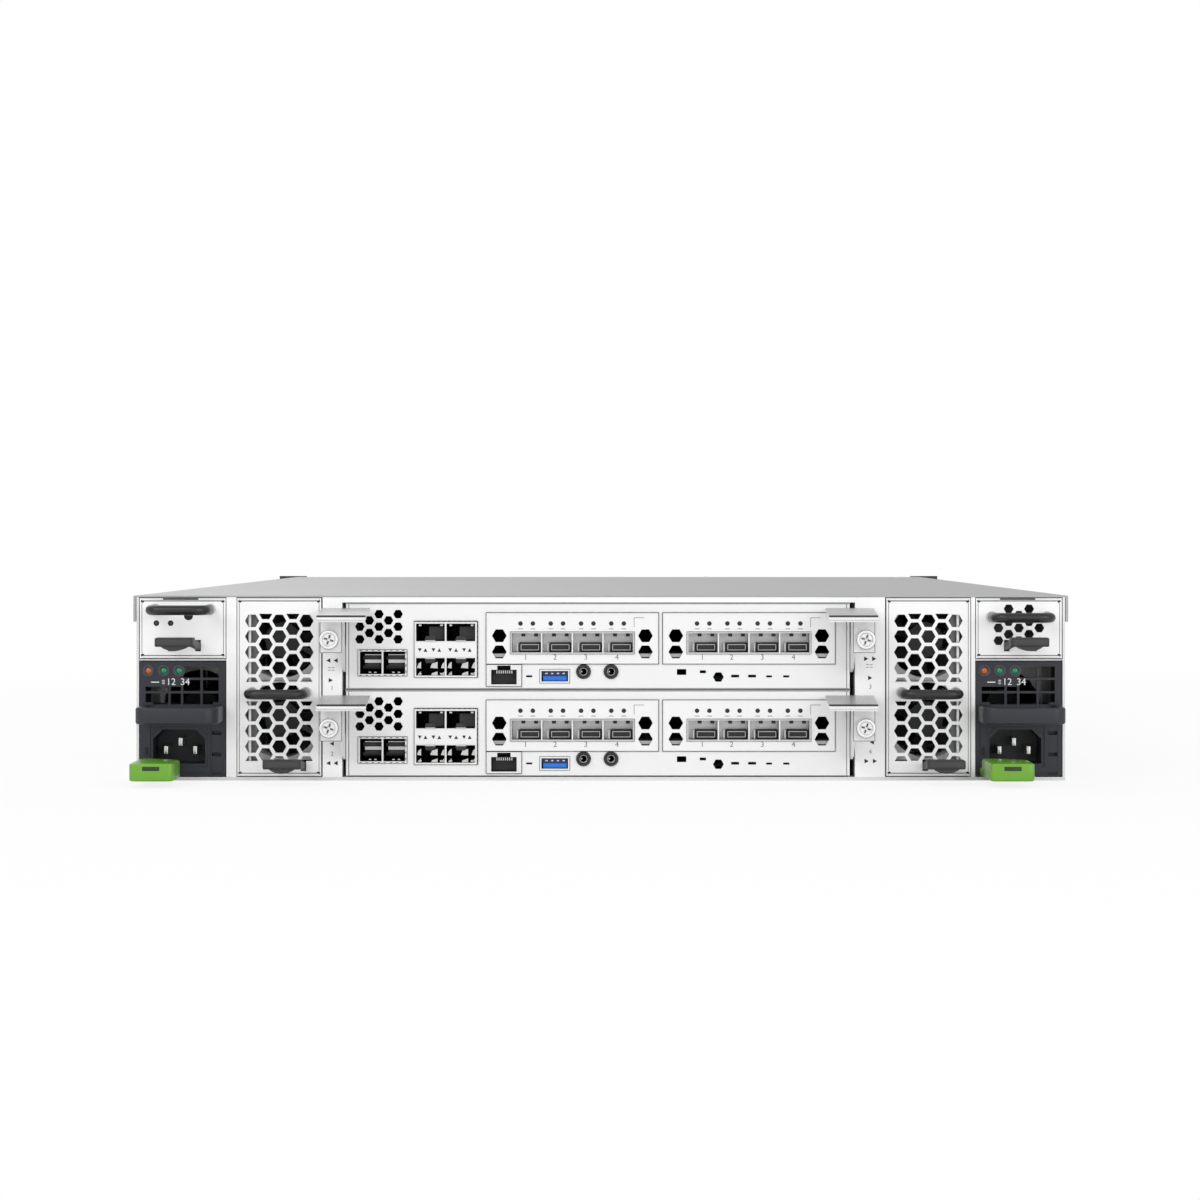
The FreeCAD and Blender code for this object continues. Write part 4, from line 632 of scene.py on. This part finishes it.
def sfp_details(level):
    """Transceiver cage: printed band with arrows, latch tabs, spring fingers with black slits and a
    black outline as painted shade, and contact strips.
    """
    body = "controller_" + level
    band = deck_rect(level, 33.0, 62.0, 15.4, 21.9, face - 0.12, face)
    add_piece(body + "_sfp_band", band, white_steel, body)
    marks = []
    for u, direction in ((35.2, "down"), (37.9, "up"), (41.7, "down"), (44.5, "up"),
                         (49.7, "down"), (52.5, "up"), (56.3, "down"), (59.0, "up")):
        x, z = deck_spot(level, u, 18.5)
        marks.append(triangle(x, z, 1.7, direction, face - 0.17, face - 0.12))
    add_piece(body + "_sfp_arrows", marks, black_parts_print_and_shade, body)
    # Black slits between the spring fingers and a black outline round the cage: painted shade in the
    # gaps
    dots = [deck_rect(level, u, u + 1.1, 31.95, 32.35, face - 0.06, face + 0.3)
            for u in 34.0 + 2.45 * np.arange(12)]
    dots += [deck_rect(level, 62.45, 62.85, w, w + 1.1, face - 0.06, face + 0.3)
             for w in 6.8 + 2.5 * np.arange(10)]
    dots.append(deck_frame(level, 32.45, 62.95, 5.35, 32.45, 0.18, face - 0.02, face + 0.3))
    add_piece(body + "_sfp_fingers", dots, black_parts_print_and_shade, body)
    tabs, lips, lines, leaves = [], [], [], []
    for u in (40.2, 54.8):
        for w, side in ((22.9, 1), (14.5, -1)):
            x, z = deck_spot(level, u, w)
            tabs.append(slab([(x - 2.8, z), (x + 2.8, z), (x + 2.0, z + side * 2.2),
                              (x - 2.0, z + side * 2.2)], face + 0.15, face + 2))
            low = w - 0.45 if side > 0 else w - 0.25
            lips.append(deck_rect(level, u - 2.3, u + 2.3, low, low + 0.7, face - 0.25, face + 0.2))
            for lobe in (-5.6, 4.6):
                top = w + side * 7.4
                lips.append(deck_soft(level, u + lobe, u + lobe + 1.4, top - 0.5, top + 0.5,
                                      face + 0.4, face + 3, 0.3))
        lines.append(deck_rect(level, u - 1.0, u + 5.9, 23.2, 29.4, 7, 8))
        x, z = deck_spot(level, u, 11.2)
        for low, high in ((-6.6, -4.6), (-0.2, 3.3), (4.9, 6.6)):
            for rise in (0.0, -4.6):
                outline = [(x + low, z + rise - 1.3), (x + high, z + rise - 1.6),
                           (x + high, z + rise + 1.6), (x + low + 0.8, z + rise + 0.7)]
                leaves.append(slab(outline[::-1], 2.4, 2.9))
    for name, shapes, material in (("tabs", tabs, dark_moulding), ("lips", lips, bright_steel),
                                   ("blocks", lines, grey_moulding), ("leaves", leaves, pin_steel)):
        add_piece(body + "_sfp_" + name, shapes, material, body)


def sas_details(level):
    """Mini-SAS cage: grey contact blocks with two dark tongues, and spring fingers on the rim with black
    slits and a black outline as painted shade.
    """
    body = "controller_" + level
    blocks, bars, bits = [], [], []
    for left in (6.6, 17.8):
        blocks.append(deck_rect(level, left + 2.1, left + 9.9, 12.2, 13.8, 4.2, 5.4))
        blocks.append(deck_rect(level, left + 2.1, left + 9.9, 15.9, 16.3, 4.2, 5.4))
        for w in (14.0, 10.3):
            bars.append(deck_soft(level, left + 2.1, left + 9.9, w, w + 1.7, 2.8, 4.2, 0.3))
        for u in (4.0, 6.6):
            bits.append(deck_soft(level, left + u, left + u + 1.3, 7.3, 8.1, 1.5, 3, 0.25))
    add_piece(body + "_sas_blocks", blocks, port_steel, body)
    add_piece(body + "_sas_tongues", bars, black_parts_print_and_shade, body)
    add_piece(body + "_sas_springs", bits, bright_steel, body)
    # Black slits between the spring fingers and a black outline round the cage: painted shade in the
    # gaps
    dots = [deck_frame(level, 5.65, 29.15, 6.05, 18.75, 0.15, face - 0.02, face + 0.3)]
    for u in 6.4 + 2.9 * np.arange(8):
        dots += [deck_rect(level, u, u + 1.2, w0, w1, face - 0.05, face + 0.2)
                 for w0, w1 in ((18.15, 18.45), (6.3, 6.55))]
    dots += [deck_rect(level, 28.4, 28.75, w, w + 1.2, face - 0.05, face + 0.2)
             for w in 7.6 + 3.0 * np.arange(4)]
    add_piece(body + "_sas_fingers", dots, black_parts_print_and_shade, body)


def module_details(level, slot, letter):
    """Interface module: indicator holes, plain port numbers, connectors and the thin outlines; the black
    holes and outlines are painted shade in the holes and in the gaps round the module and its cage.
    """
    body = "controller_" + level
    name = body + "_module_" + letter
    shift = slot * 84.2
    cage = -1.0
    dots = []
    # Black discs for the indicator holes, painted shade inside them, each with a printed bar under it
    for u in (83.2, 89.1, 97.65, 103.5, 112.1, 118.0, 126.5, 132.5):
        x, z = deck_spot(level, u + shift, 31.15)
        dots.append(slab(circle(x, z, 1.1, 20), face - print_thickness, face))
        dots.append(deck_rect(level, u + shift - 1.1, u + shift + 1.1, 28.5, 28.75))
    dots.append(deck_rect(level, 137.3 + shift, 137.5 + shift, 29.4, 34.0))
    dots.append(deck_rect(level, 137.3 + shift, 142.2 + shift, 33.8, 34.0))
    # Black outlines round the module and its cage: painted shade in the gaps
    dots.append(deck_frame(level, 66.75 + shift, 149.15 + shift, 11.75, 36.35, 0.22,
                           face - print_thickness, face + 0.4))
    dots.append(deck_frame(level, 78.2 + shift, 137.7 + shift, 16.45, 27.35, 0.2))
    add_piece(name + "_marks", dots, black_parts_print_and_shade, body)
    add_piece(name + "_bevel", deck_frame(level, 67.0 + shift, 148.9 + shift, 12.0, 36.1, 0.7,
                                          face - 0.12, face), white_steel, body)
    rim = deck_frame(level, 78.4 + shift, 137.5 + shift, 16.6, 27.15, 0.55, cage - 0.1, cage + 0.2)
    add_piece(name + "_rim", rim, bright_steel, body)
    numbers, plugs, frames, backs = [], [], [], []
    for n, u in enumerate((85.7, 99.7, 114.35, 129.2)):
        x, z = deck_spot(level, u + shift, 15.0)
        numbers.append(written(str(n + 1), 3.6, x, z, face - print_thickness))
        left = 66.9 + 11.55 + 0.6 + n * 14.6 + shift
        backs.append(deck_rect(level, left, left + 14.0, 17.3, 26.5, 9, 10))
        plugs.append(deck_soft(level, left + 3.4, left + 13.6, 17.5, 21.9, 3, 9, 0.35))
        frames.append(deck_frame(level, left + 4.2, left + 12.8, 18.3, 21.1, 0.25, 2.9, 3.05))
        frames.append(deck_rect(level, left + 2.2, left + 2.9, 17.6, 21.7, 4, 9))
        for tooth in (4.5, 10.6):
            plugs.append(deck_rect(level, left + tooth, left + tooth + 1.9, 24.9, 26.4, 1.5, 2.5))
    add_piece(name + "_numbers", numbers, grey_print_and_shade, body)
    add_piece(name + "_backs", backs, port_steel, body)
    add_piece(name + "_plugs", plugs, black_parts_print_and_shade, body)
    add_piece(name + "_plug_lines", frames, port_steel, body)


def small_sockets(level):
    """Network, USB and jack details of a controller's lower row, with a black outline round the network
    socket and a dark navy block in the USB cavity as painted shade.
    """
    body = "controller_" + level
    # Black outline round the network socket: painted shade in the gap round it
    outline = deck_frame(level, 66.75, 83.85, 1.05, 11.65, 0.22, face - print_thickness, face + 0.3)
    add_piece(body + "_network_outline", outline, black_parts_print_and_shade, body)
    pins = [deck_rect(level, u, u + 0.45, 7.2, 8.6, 3, 8) for u in 71.6 + 1.02 * np.arange(8)]
    add_piece(body + "_network_pins", pins, pin_steel, body)
    floor = deck_rect(level, 69.4, 81.2, 2.2, 8.9, 9, 10)
    add_piece(body + "_network_back", floor, grey_moulding, body)
    lower = deck_soft(level, 93.9, 105.3, 3.75, 6.0, 0.6, 10, 0.2)
    add_piece(body + "_usb_blue", lower, blue_moulding, body)
    # Dark navy block in the USB cavity above the blue tongue: painted shade
    upper = deck_rect(level, 93.7, 105.5, 6.02, 8.35, 0.9, 11)
    add_piece(body + "_usb_cavity_shade", upper, navy_cavity_shade, body)
    springs = [deck_soft(level, u, u + 1.3, 6.9, 7.7, 0.5, 2, 0.25) for u in 94.9 + 2.75 * np.arange(4)]
    add_piece(body + "_usb_springs", springs, pin_steel, body)
    rings, sleeves = [], []
    for u in (113.25, 126.4):
        x, z = deck_spot(level, u, 8.2)
        rings.append(turned([(2.05, 4), (2.05, face - 0.5), (2.3, face - 0.8), (2.9, face - 0.8),
                             (3.25, face - 0.5), (3.4, face + 0.1), (3.4, 4)], x, z, 40))
        sleeves.append(turned([(1.6, 4), (1.6, face - 0.2), (1.8, face - 0.35),
                               (2.04, face - 0.2), (2.04, 4)], x, z, 32))
        sleeves.append(soft_block((x - 1.3, 0.6, z - 0.45), (x - 0.55, 2.5, z + 0.45), 0.2))
    add_piece(body + "_jack_rings", rings, jack_moulding, body)
    add_piece(body + "_jack_sleeves", sleeves, port_steel, body)


def face_edge_shade(level):
    """Grey lines beside the four edges of a controller's face, painted shade along its bevels."""
    body = "controller_" + level
    lines = [deck_rect(level, *sides, -print_thickness, 0)
             for sides in ((1.1, 1.45, 0.4, 40.4), (238.6, 238.95, 0.4, 40.4),
                           (0.3, 239.9, 40.35, 40.7), (0.3, 239.9, 0.1, 0.35))]
    add_piece(body + "_lines", lines, grey_print_and_shade, body)


# Marks on the strips between the bays

def strip_marks():
    """Arrows, dashes and plain numbers on the strips between the bays."""
    marks = []
    y0 = -print_thickness
    for x, z, direction in ((-130.0, 57.2, "left"), (-126.5, 57.2, "left"), (-128.8, 47.8, "right"),
                            (-128.3, 17.5, "left"), (-130.0, 8.2, "left"), (-126.5, 8.2, "left"),
                            (126.6, 58.0, "right"), (130.4, 58.0, "right"), (128.5, 48.9, "right"),
                            (129.3, 18.2, "left"), (126.8, 9.2, "right"), (130.8, 9.2, "right")):
        marks.append(triangle(x, z, 2.0, direction, y0, 0))
    for x, z in ((-128.6, 53.2), (128.1, 54.6)):
        for dx in (-0.9, 0.9):
            for dz in (-0.6, 0.6):
                marks.append(block(x + dx - 0.7, x + dx + 0.7, y0, 0, z + dz - 0.12, z + dz + 0.12))
    add_piece("strip_arrows", marks, black_parts_print_and_shade, "chassis")
    numbers = [written(text, 2.9, x, z, y0) for text, x, z in
               (("1", -128.2, 44.0), ("2", -128.2, 12.6), ("3", 128.6, 44.6), ("4", 128.6, 13.6))]
    add_piece("strip_numbers", numbers, grey_print_and_shade, "chassis")


# Plates of the fan modules and battery units

def plate_lips():
    """Folded lips along the plates' upper and lower edges, with painted shade: black lines along the
    folds, black discs at the corners for the relief notches, and grey lines beside the side edges.
    """
    for body, (low, high) in plates.items():
        lips, notches = [], []
        for z, side in ((low.z, 1), (high.z, -1)):
            z0 = min(z, z + side * 1.1)
            lips.append(soft_block((low.x + 0.9, -0.55, z0), (high.x - 0.9, 0.2, z0 + 1.1), 0.3, 0))
            line = z + side * 1.35
            # Black line along the fold and black discs at the corners: painted shade in the fold and the
            # relief notches
            notches.append(block(low.x + 1.2, high.x - 1.2, -print_thickness, 0,
                                 line - 0.16, line + 0.16))
            for x in (low.x + 1.3, high.x - 1.3):
                notches.append(slab(circle(x, line, 0.8, 16), -2 * print_thickness, 0))
        # Grey lines beside the side edges: painted shade
        sides = [block(x - 0.14, x + 0.14, -print_thickness, 0,
                       low.z + 2.4, high.z - 2.4)
                 for x in (low.x + 1.0, high.x - 1.0)]
        add_piece(body + "_side_edge_shade", sides, grey_print_and_shade, body)
        add_piece(body + "_lips", lips, white_steel, body)
        add_piece(body + "_notches", notches, black_parts_print_and_shade, body)


def fan_rails():
    """Folded rail and shaded panel behind the outermost holes of each fan module."""
    for hand, (low, high) in fans.items():
        body = "fan_" + hand
        middle = (low.x + high.x) / 2
        side = -1 if hand == "left" else 1
        rail = block(middle - 14.9, middle - 13.7, 2.6, 3.4, low.z + 1.1, high.z - 1.1)
        panel = block(middle - 13.7, middle - 10.9, 5.4, 6.0, low.z + 1.1, high.z - 1.1)
        if side > 0:
            rail = mirrored(rail, middle)
            panel = mirrored(panel, middle)
        add_piece(body + "_rail", rail, screw_steel, body)
        add_piece(body + "_panel", panel, shade_moulding, body)


def battery_marks():
    """Indicator holes and round test hole of the left battery unit, and the slots over both plates,
    drawn as black discs and bars that paint the shade inside them.
    """
    for hand, middle in (("left", -200.3), ("right", 198.8)):
        # Black bar over the plate: painted shade in the slot
        slot = block(middle - 8.4, middle + 8.4, -0.62, 0,
                     batteries[hand][1].z - 0.75, batteries[hand][1].z - 0.05)
        add_piece("battery_" + hand + "_slot", slot, black_parts_print_and_shade, "battery_" + hand)
    lamps = ((-212.0, 75.0, 1.35), (-205.2, 75.0, 1.35))
    # Black discs: painted shade inside the indicator holes and the test hole
    dots = [slab(circle(x, z, radius, 28), -print_thickness, 0)
            for x, z, radius in (*lamps, (-196.7, 78.5, 2.15))]
    add_piece("battery_left_marks", dots, hole_shade_black, "battery_left")
    eyes = [slab(circle(x, z, 0.4 * radius, 20), -2 * print_thickness, -print_thickness)
            for x, z, radius in lamps]
    add_piece("battery_left_eyes", eyes, grey_moulding, "battery_left")


# Sprung latches

def arch(x0, x1, z, drop, steps=12):
    """Outline of a shallow bump under a bar: half a sine wave between its two ends."""
    share = np.linspace(0, 1, steps + 1)
    return np.stack([x0 + (x1 - x0) * share, z - drop * np.sin(math.pi * share) ** 0.7], -1)


def soft_latches():
    """Latch bar with a framed front, its round bump, and the two tapering arms."""
    for body in plates:
        node = body + "_latch"
        low, high = box(node)
        top = high.z
        bar_low = top - 4.2
        y0 = low.y
        y1 = y0 + 9.0
        parts = [soft_block((low.x, y0, bar_low), (high.x, y1, top), 0.7, 1, 4)]
        bump = arch(low.x + 2.5, high.x - 2.5, bar_low + 0.4, 2.4)
        parts.append(slab(bump, y0 + 0.5, y1 - 0.5))
        root = 6.0
        middle = (bar_low + top) / 2
        for x in (low.x + 1.4, high.x - 3.4):
            arm = [(y1 - 1.0, middle + 1.7), (root, middle - 1.8),
                   (root + 1.8, middle - 3.6), (root, middle - 5.4),
                   (y1 - 1.0, middle - 1.7)]
            parts.append(plank(arm, x, x + 2.0))
        add_piece(node + "_moulded", parts, latch_moulding, node, (node,))
        field = soft_block((low.x + 0.9, y0 - 0.25, bar_low + 0.8),
                           (high.x - 0.9, y0 + 0.5, top - 0.8), 0.25)
        add_piece(node + "_field", field, latch_field, node)


# Power supplies

def bezel_details(body, low):
    """Raised edge round the inlet, the dark recess at the left, and white plain marks."""
    def bar(x0, x1, z0, z1, proud):
        """Bar on the bezel's face, from its left edge and the base."""
        return block(low.x + x0, low.x + x1, -proud, 0, z0, z1)
    edges = [bar(2.0, 5.0, 11.8, 26.6, 0.6), bar(32.6, 33.7, 3.9, 26.6, 0.6),
                    bar(5.0, 32.6, 25.8, 26.6, 0.6), bar(10.0, 32.6, 3.9, 6.4, 0.6),
                    bar(33.7, 34.4, 2.6, 27.6, 0.25), bar(38.9, 39.6, 2.6, 27.6, 0.25),
                    bar(2.2, 6.5, 35.9, 37.3, 0.6), bar(35.0, 39.2, 35.9, 37.3, 0.6)]
    add_piece(body + "_edges", edges, dark_moulding, body)
    # Black bars: painted shade in the recess left of the inlet and at the foot of the channel between
    # the two low ridges
    recess = [bar(2.5, 4.3, 12.2, 15.8, 0.68), bar(34.4, 38.9, 2.6, 4.0, 0.06)]
    add_piece(body + "_recess", recess, hole_shade_black, body)
    marks = [bar(5.4, 9.2, 46.6, 47.1, 0.05), bar(10.6, 11.9, 46.0, 46.3, 0.05),
             bar(10.6, 11.9, 46.8, 47.1, 0.05), bar(10.6, 11.9, 47.6, 47.9, 0.05)]
    digits = [written(text, 4.6, low.x + x, 46.9, -print_thickness)
              for text, x in (("12", 14.9), ("34", 21.6))]
    add_piece(body + "_marks", marks + digits, print_white, body)


def green_tab(body):
    """Green latch with rounded corners and edges, its slot as a near-black green block of painted shade,
    its eyed root tongue and a rivet.
    """
    node = body + "_latch"
    box_low, box_high = box(node)
    x0, y0, z0, z1 = box_low.x, box_low.y, box_low.z, box_high.z
    x1 = box_high.x
    neck = -10
    outline = rounded([(x0, neck), (x0, y0), (x1, y0), (x1, neck - 10), (x0 + 6, neck)],
                      [1.2, 2.6, 2.6, 3.0, 2.0])
    tab = cushion(outline, z0, z1, 0.9)
    root = z0 + 3.3
    eye = np.array([x0 + 3, 8]) + 3 * np.stack(
        [np.cos(np.linspace(0, math.pi, 17)), np.sin(np.linspace(0, math.pi, 17))], -1)
    tongue = np.concatenate([[(x0, neck - 4), (x0 + 6, neck - 4)], eye])
    add_piece(node + "_moulded", [tab, cushion(tongue, z0, root, 0.2, 2)], green_moulding,
              node, (node,))
    middle = (x0 + x1) / 2
    # Near-black green block in the slot: painted shade
    slot = soft_block((middle - 4.0, y0 - 0.04, z0 + 4.9),
                      (middle + 4.0, y0 + 1.0, z0 + 6.9), 0.03, 1, 2, 0.3)
    add_piece(node + "_slot", slot, slot_shade_green, node)
    rivet = soft_block((x0 + 0.2, neck + 0.6, root), (x0 + 2.0, neck + 2.4, z1 - 0.9), 0.5, 2, 3, 0.85)
    add_piece(node + "_rivet", rivet, pin_steel, node)


def supply_details():
    """Indicator rings and lenses, the rounded handle band and the bright pins."""
    for hand, (low, high) in supplies.items():
        body = "supply_" + hand
        middle = (low.x + high.x) / 2
        rings = []
        lens = {"orange": [], "green": []}
        for n in range(3):
            x, z = low.x + 4.1 + 7.3 * n, 52.3
            rings.append(turned([(1.62, 1.5), (1.62, -0.15), (2.1, -0.45), (2.8, -0.4), (3.1, 0),
                                 (3.1, 1.5)], x, z, 40))
            dome = [(0.05, -0.3), (0.7, -0.2), (1.1, 0), (1.35, 0.2), (1.6, 0.3), (1.6, 1.5)]
            lens["orange" if n == 0 else "green"].append(turned(dome, x, z, 32))
        add_piece(body + "_light_rings", rings, ring_moulding, body)
        add_piece(body + "_light_orange", lens["orange"], orange_lens, body)
        add_piece(body + "_light_green", lens["green"], green_lens, body)
        node = body + "_handle"
        box_low, box_high = box(node)
        tall = box_high.z - box_low.z
        sheet = 4.0
        section = corner_outline(sheet, tall, 1.0, 4)
        route = bent_route(middle, (box_low.z + box_high.z) / 2, (box_high.x - box_low.x - sheet) / 2,
                           0, box_low.y + sheet / 2, 4.5)
        add_piece(node + "_band", carried(section, route), dark_moulding, body, (node,))
        bezel_details(body, low)
        green_tab(body)
        inlet_x, inlet_z = middle - 1.7, 16.1
        pins = [soft_block((inlet_x + dx - 1.1, 4.6, inlet_z + dz - 2.1),
                           (inlet_x + dx + 1.1, 17, inlet_z + dz + 2.1), 0.5, 1, 4)
                for dx, dz in ((-7, -2), (7, -2), (0, 2))]
        add_piece(body + "_pins", pins, pin_steel, body)


# Drive fronts and the cover's screws

def drive_fronts():
    """Two indicator lenses on the foot of each carrier and four grip ribs on its lever."""
    one_low, one_high = box("drive_1_carrier")
    low, high = box("drive_carriers")
    pitch = (high.x - low.x - (one_high.x - one_low.x)) / 23
    step = pitch if one_low.x < low.x else -pitch
    y = one_high.y
    top = box("drive_1_lever")[1].z
    greens, ambers, ribs = [], [], []
    for n in range(25):
        x = (one_low.x + one_high.x) / 2 + n * step
        for shift, lenses in ((-2.2, greens), (2.2, ambers)):
            lenses.append(turned([(0.05, y - 0.5), (1.0, y - 0.5), (1.0, y),
                                  (0.8, y + 0.2), (0.4, y + 0.3),
                                  (0.05, y + 0.32)], x + shift, one_low.z + 5, 20))
        ribs.append(merged([soft_block((x - 2.6, y - 0.3, top - (3.0 + 1.4 * k)),
                                       (x + 2.6, y + 0.3, top - (2.3 + 1.4 * k)), 0.25)
                            for k in range(4)]))
    for name, shapes, material, body in (("green_lenses", greens, green_lens, "drive_1"),
                                         ("amber_lenses", ambers, orange_lens, "drive_1"),
                                         ("ribs", ribs, dark_moulding, "drive_1_lever")):
        add_piece("drive_1_" + name, shapes[0], material, body)
        add_piece("drives_" + name, shapes[1:], material, "chassis")


def cover_screws():
    """Low countersunk screws along the cover's front edge, each with a near-black cross on its head as
    painted shade of its cross recess.
    """
    low, high = box("top_cover")
    heads, crosses = [], []
    for x in np.linspace(low.x + 16, high.x - 16, 4):
        y = high.y - 12
        heads.append(cushion(circle(x, y, 3.4, 40), high.z - 0.6, high.z + 0.3, 0.25))
        # Near-black cross on each head: painted shade of its cross recess
        for half_x, half_y in ((1.7, 0.3), (0.3, 1.7)):
            crosses.append(block(x - half_x, x + half_x, y - half_y, y + half_y,
                                 high.z + 0.28, high.z + 0.33))
    add_piece("cover_screw_heads", heads, screw_steel, "chassis")
    add_piece("cover_screw_crosses", crosses, recess_shade, "chassis")


# White room, camera and lights

def mixed(tree, share, first, second, kind):
    """Ends a tree with two shaders and the share of the second one."""
    both = wired(tree, "MixShader", {0: share, 1: first.outputs[0], 2: second.outputs[0]})
    wired(tree, "Output" + kind, {0: both.outputs[0]})


def set_stage():
    """White room in metres: pale floor, camera at the photograph's place, and even soft light."""
    scene = bpy.context.scene
    camera = bpy.data.objects.new("camera", bpy.data.cameras.new("camera"))
    scene.collection.objects.link(camera)
    camera.location = (0.0105, -1.882, 0.1149)
    camera.rotation_euler = (math.pi / 2, 0, 0)
    camera.data.lens = 93.2
    camera.data.sensor_width = 36
    camera.data.shift_x = -0.0190
    camera.data.shift_y = -0.0504
    camera.data.clip_end = 50
    scene.camera = camera
    world = bpy.data.worlds.new("white_room")
    scene.world = world
    world.use_nodes = True
    tree = world.node_tree
    tree.nodes.clear()
    light, plain = [wired(tree, "Background", {"Color": (1, 1, 1, 1), "Strength": strength})
                    for strength in (0.70, 1.0)]
    mixed(tree, wired(tree, "LightPath", {}).outputs["Is Camera Ray"], light, plain, "World")
    reach = 6.0
    floor_mesh = bpy.data.meshes.new("floor")
    floor_mesh.from_pydata([(-reach, -reach, 0), (reach, -reach, 0), (reach, reach, 0),
                            (-reach, reach, 0)], [], [(0, 1, 2, 3)])
    floor = bpy.data.objects.new("floor", floor_mesh)
    floor.location = (0, 0, -0.2 * mm)
    scene.collection.objects.link(floor)
    material = bpy.data.materials.new("floor_paint")
    material.use_nodes = True
    tree = material.node_tree
    tree.nodes.clear()
    where = wired(tree, "TexCoord", {})
    distance = wired(tree, "VectorMath", {0: where.outputs["Object"]}, operation="LENGTH")
    fade = wired(tree, "MapRange", {"From Min": 0.55, "From Max": 1.1, "To Min": 0.84, "To Max": 1.0,
                                    "Value": distance.outputs["Value"]})
    share = wired(tree, "Math", {0: wired(tree, "LightPath", {}).outputs["Is Camera Ray"],
                                 1: fade.outputs["Result"]}, operation="MULTIPLY")
    mixed(tree, share.outputs[0], wired(tree, "BsdfDiffuse", {"Color": (0.90, 0.90, 0.90, 1)}),
          wired(tree, "Emission", {}), "Material")
    floor_mesh.materials.append(material)
    for name, place, aim, size, power in (
            ("key", (-2.6, -4.2, 2.9), (0, -0.2, 0), 4.0, 96),
            ("fill", (2.8, -4.2, 1.1), (0, -0.3, 0.05), 3.6, 78),
            ("back", (-1.2, 2.4, 2.4), (0, 0.2, 0), 2.4, 24)):
        data = bpy.data.lights.new(name, "AREA")
        data.size = size
        data.energy = power
        lamp = bpy.data.objects.new(name, data)
        scene.collection.objects.link(lamp)
        lamp.location = place
        direction = np.array(aim) - np.array(place)
        yaw = math.atan2(direction[0], direction[1])
        pitch = math.atan2(-direction[2], math.hypot(direction[0], direction[1]))
        lamp.rotation_euler = (math.pi / 2 - pitch, 0, -yaw)


dress_frame()
wire_handles()
captive_screws()
lever_lips()
for deck_level in decks:
    face_edge_shade(deck_level)
    sfp_details(deck_level)
    sas_details(deck_level)
    module_details(deck_level, 0, "a")
    module_details(deck_level, 1, "b")
    small_sockets(deck_level)
gap_shade_strips()
strip_marks()
plate_lips()
fan_rails()
battery_marks()
soft_latches()
supply_details()
drive_fronts()
cover_screws()
set_stage()

bpy.context.scene.view_settings.view_transform = "Standard"
bpy.context.view_layer.update()
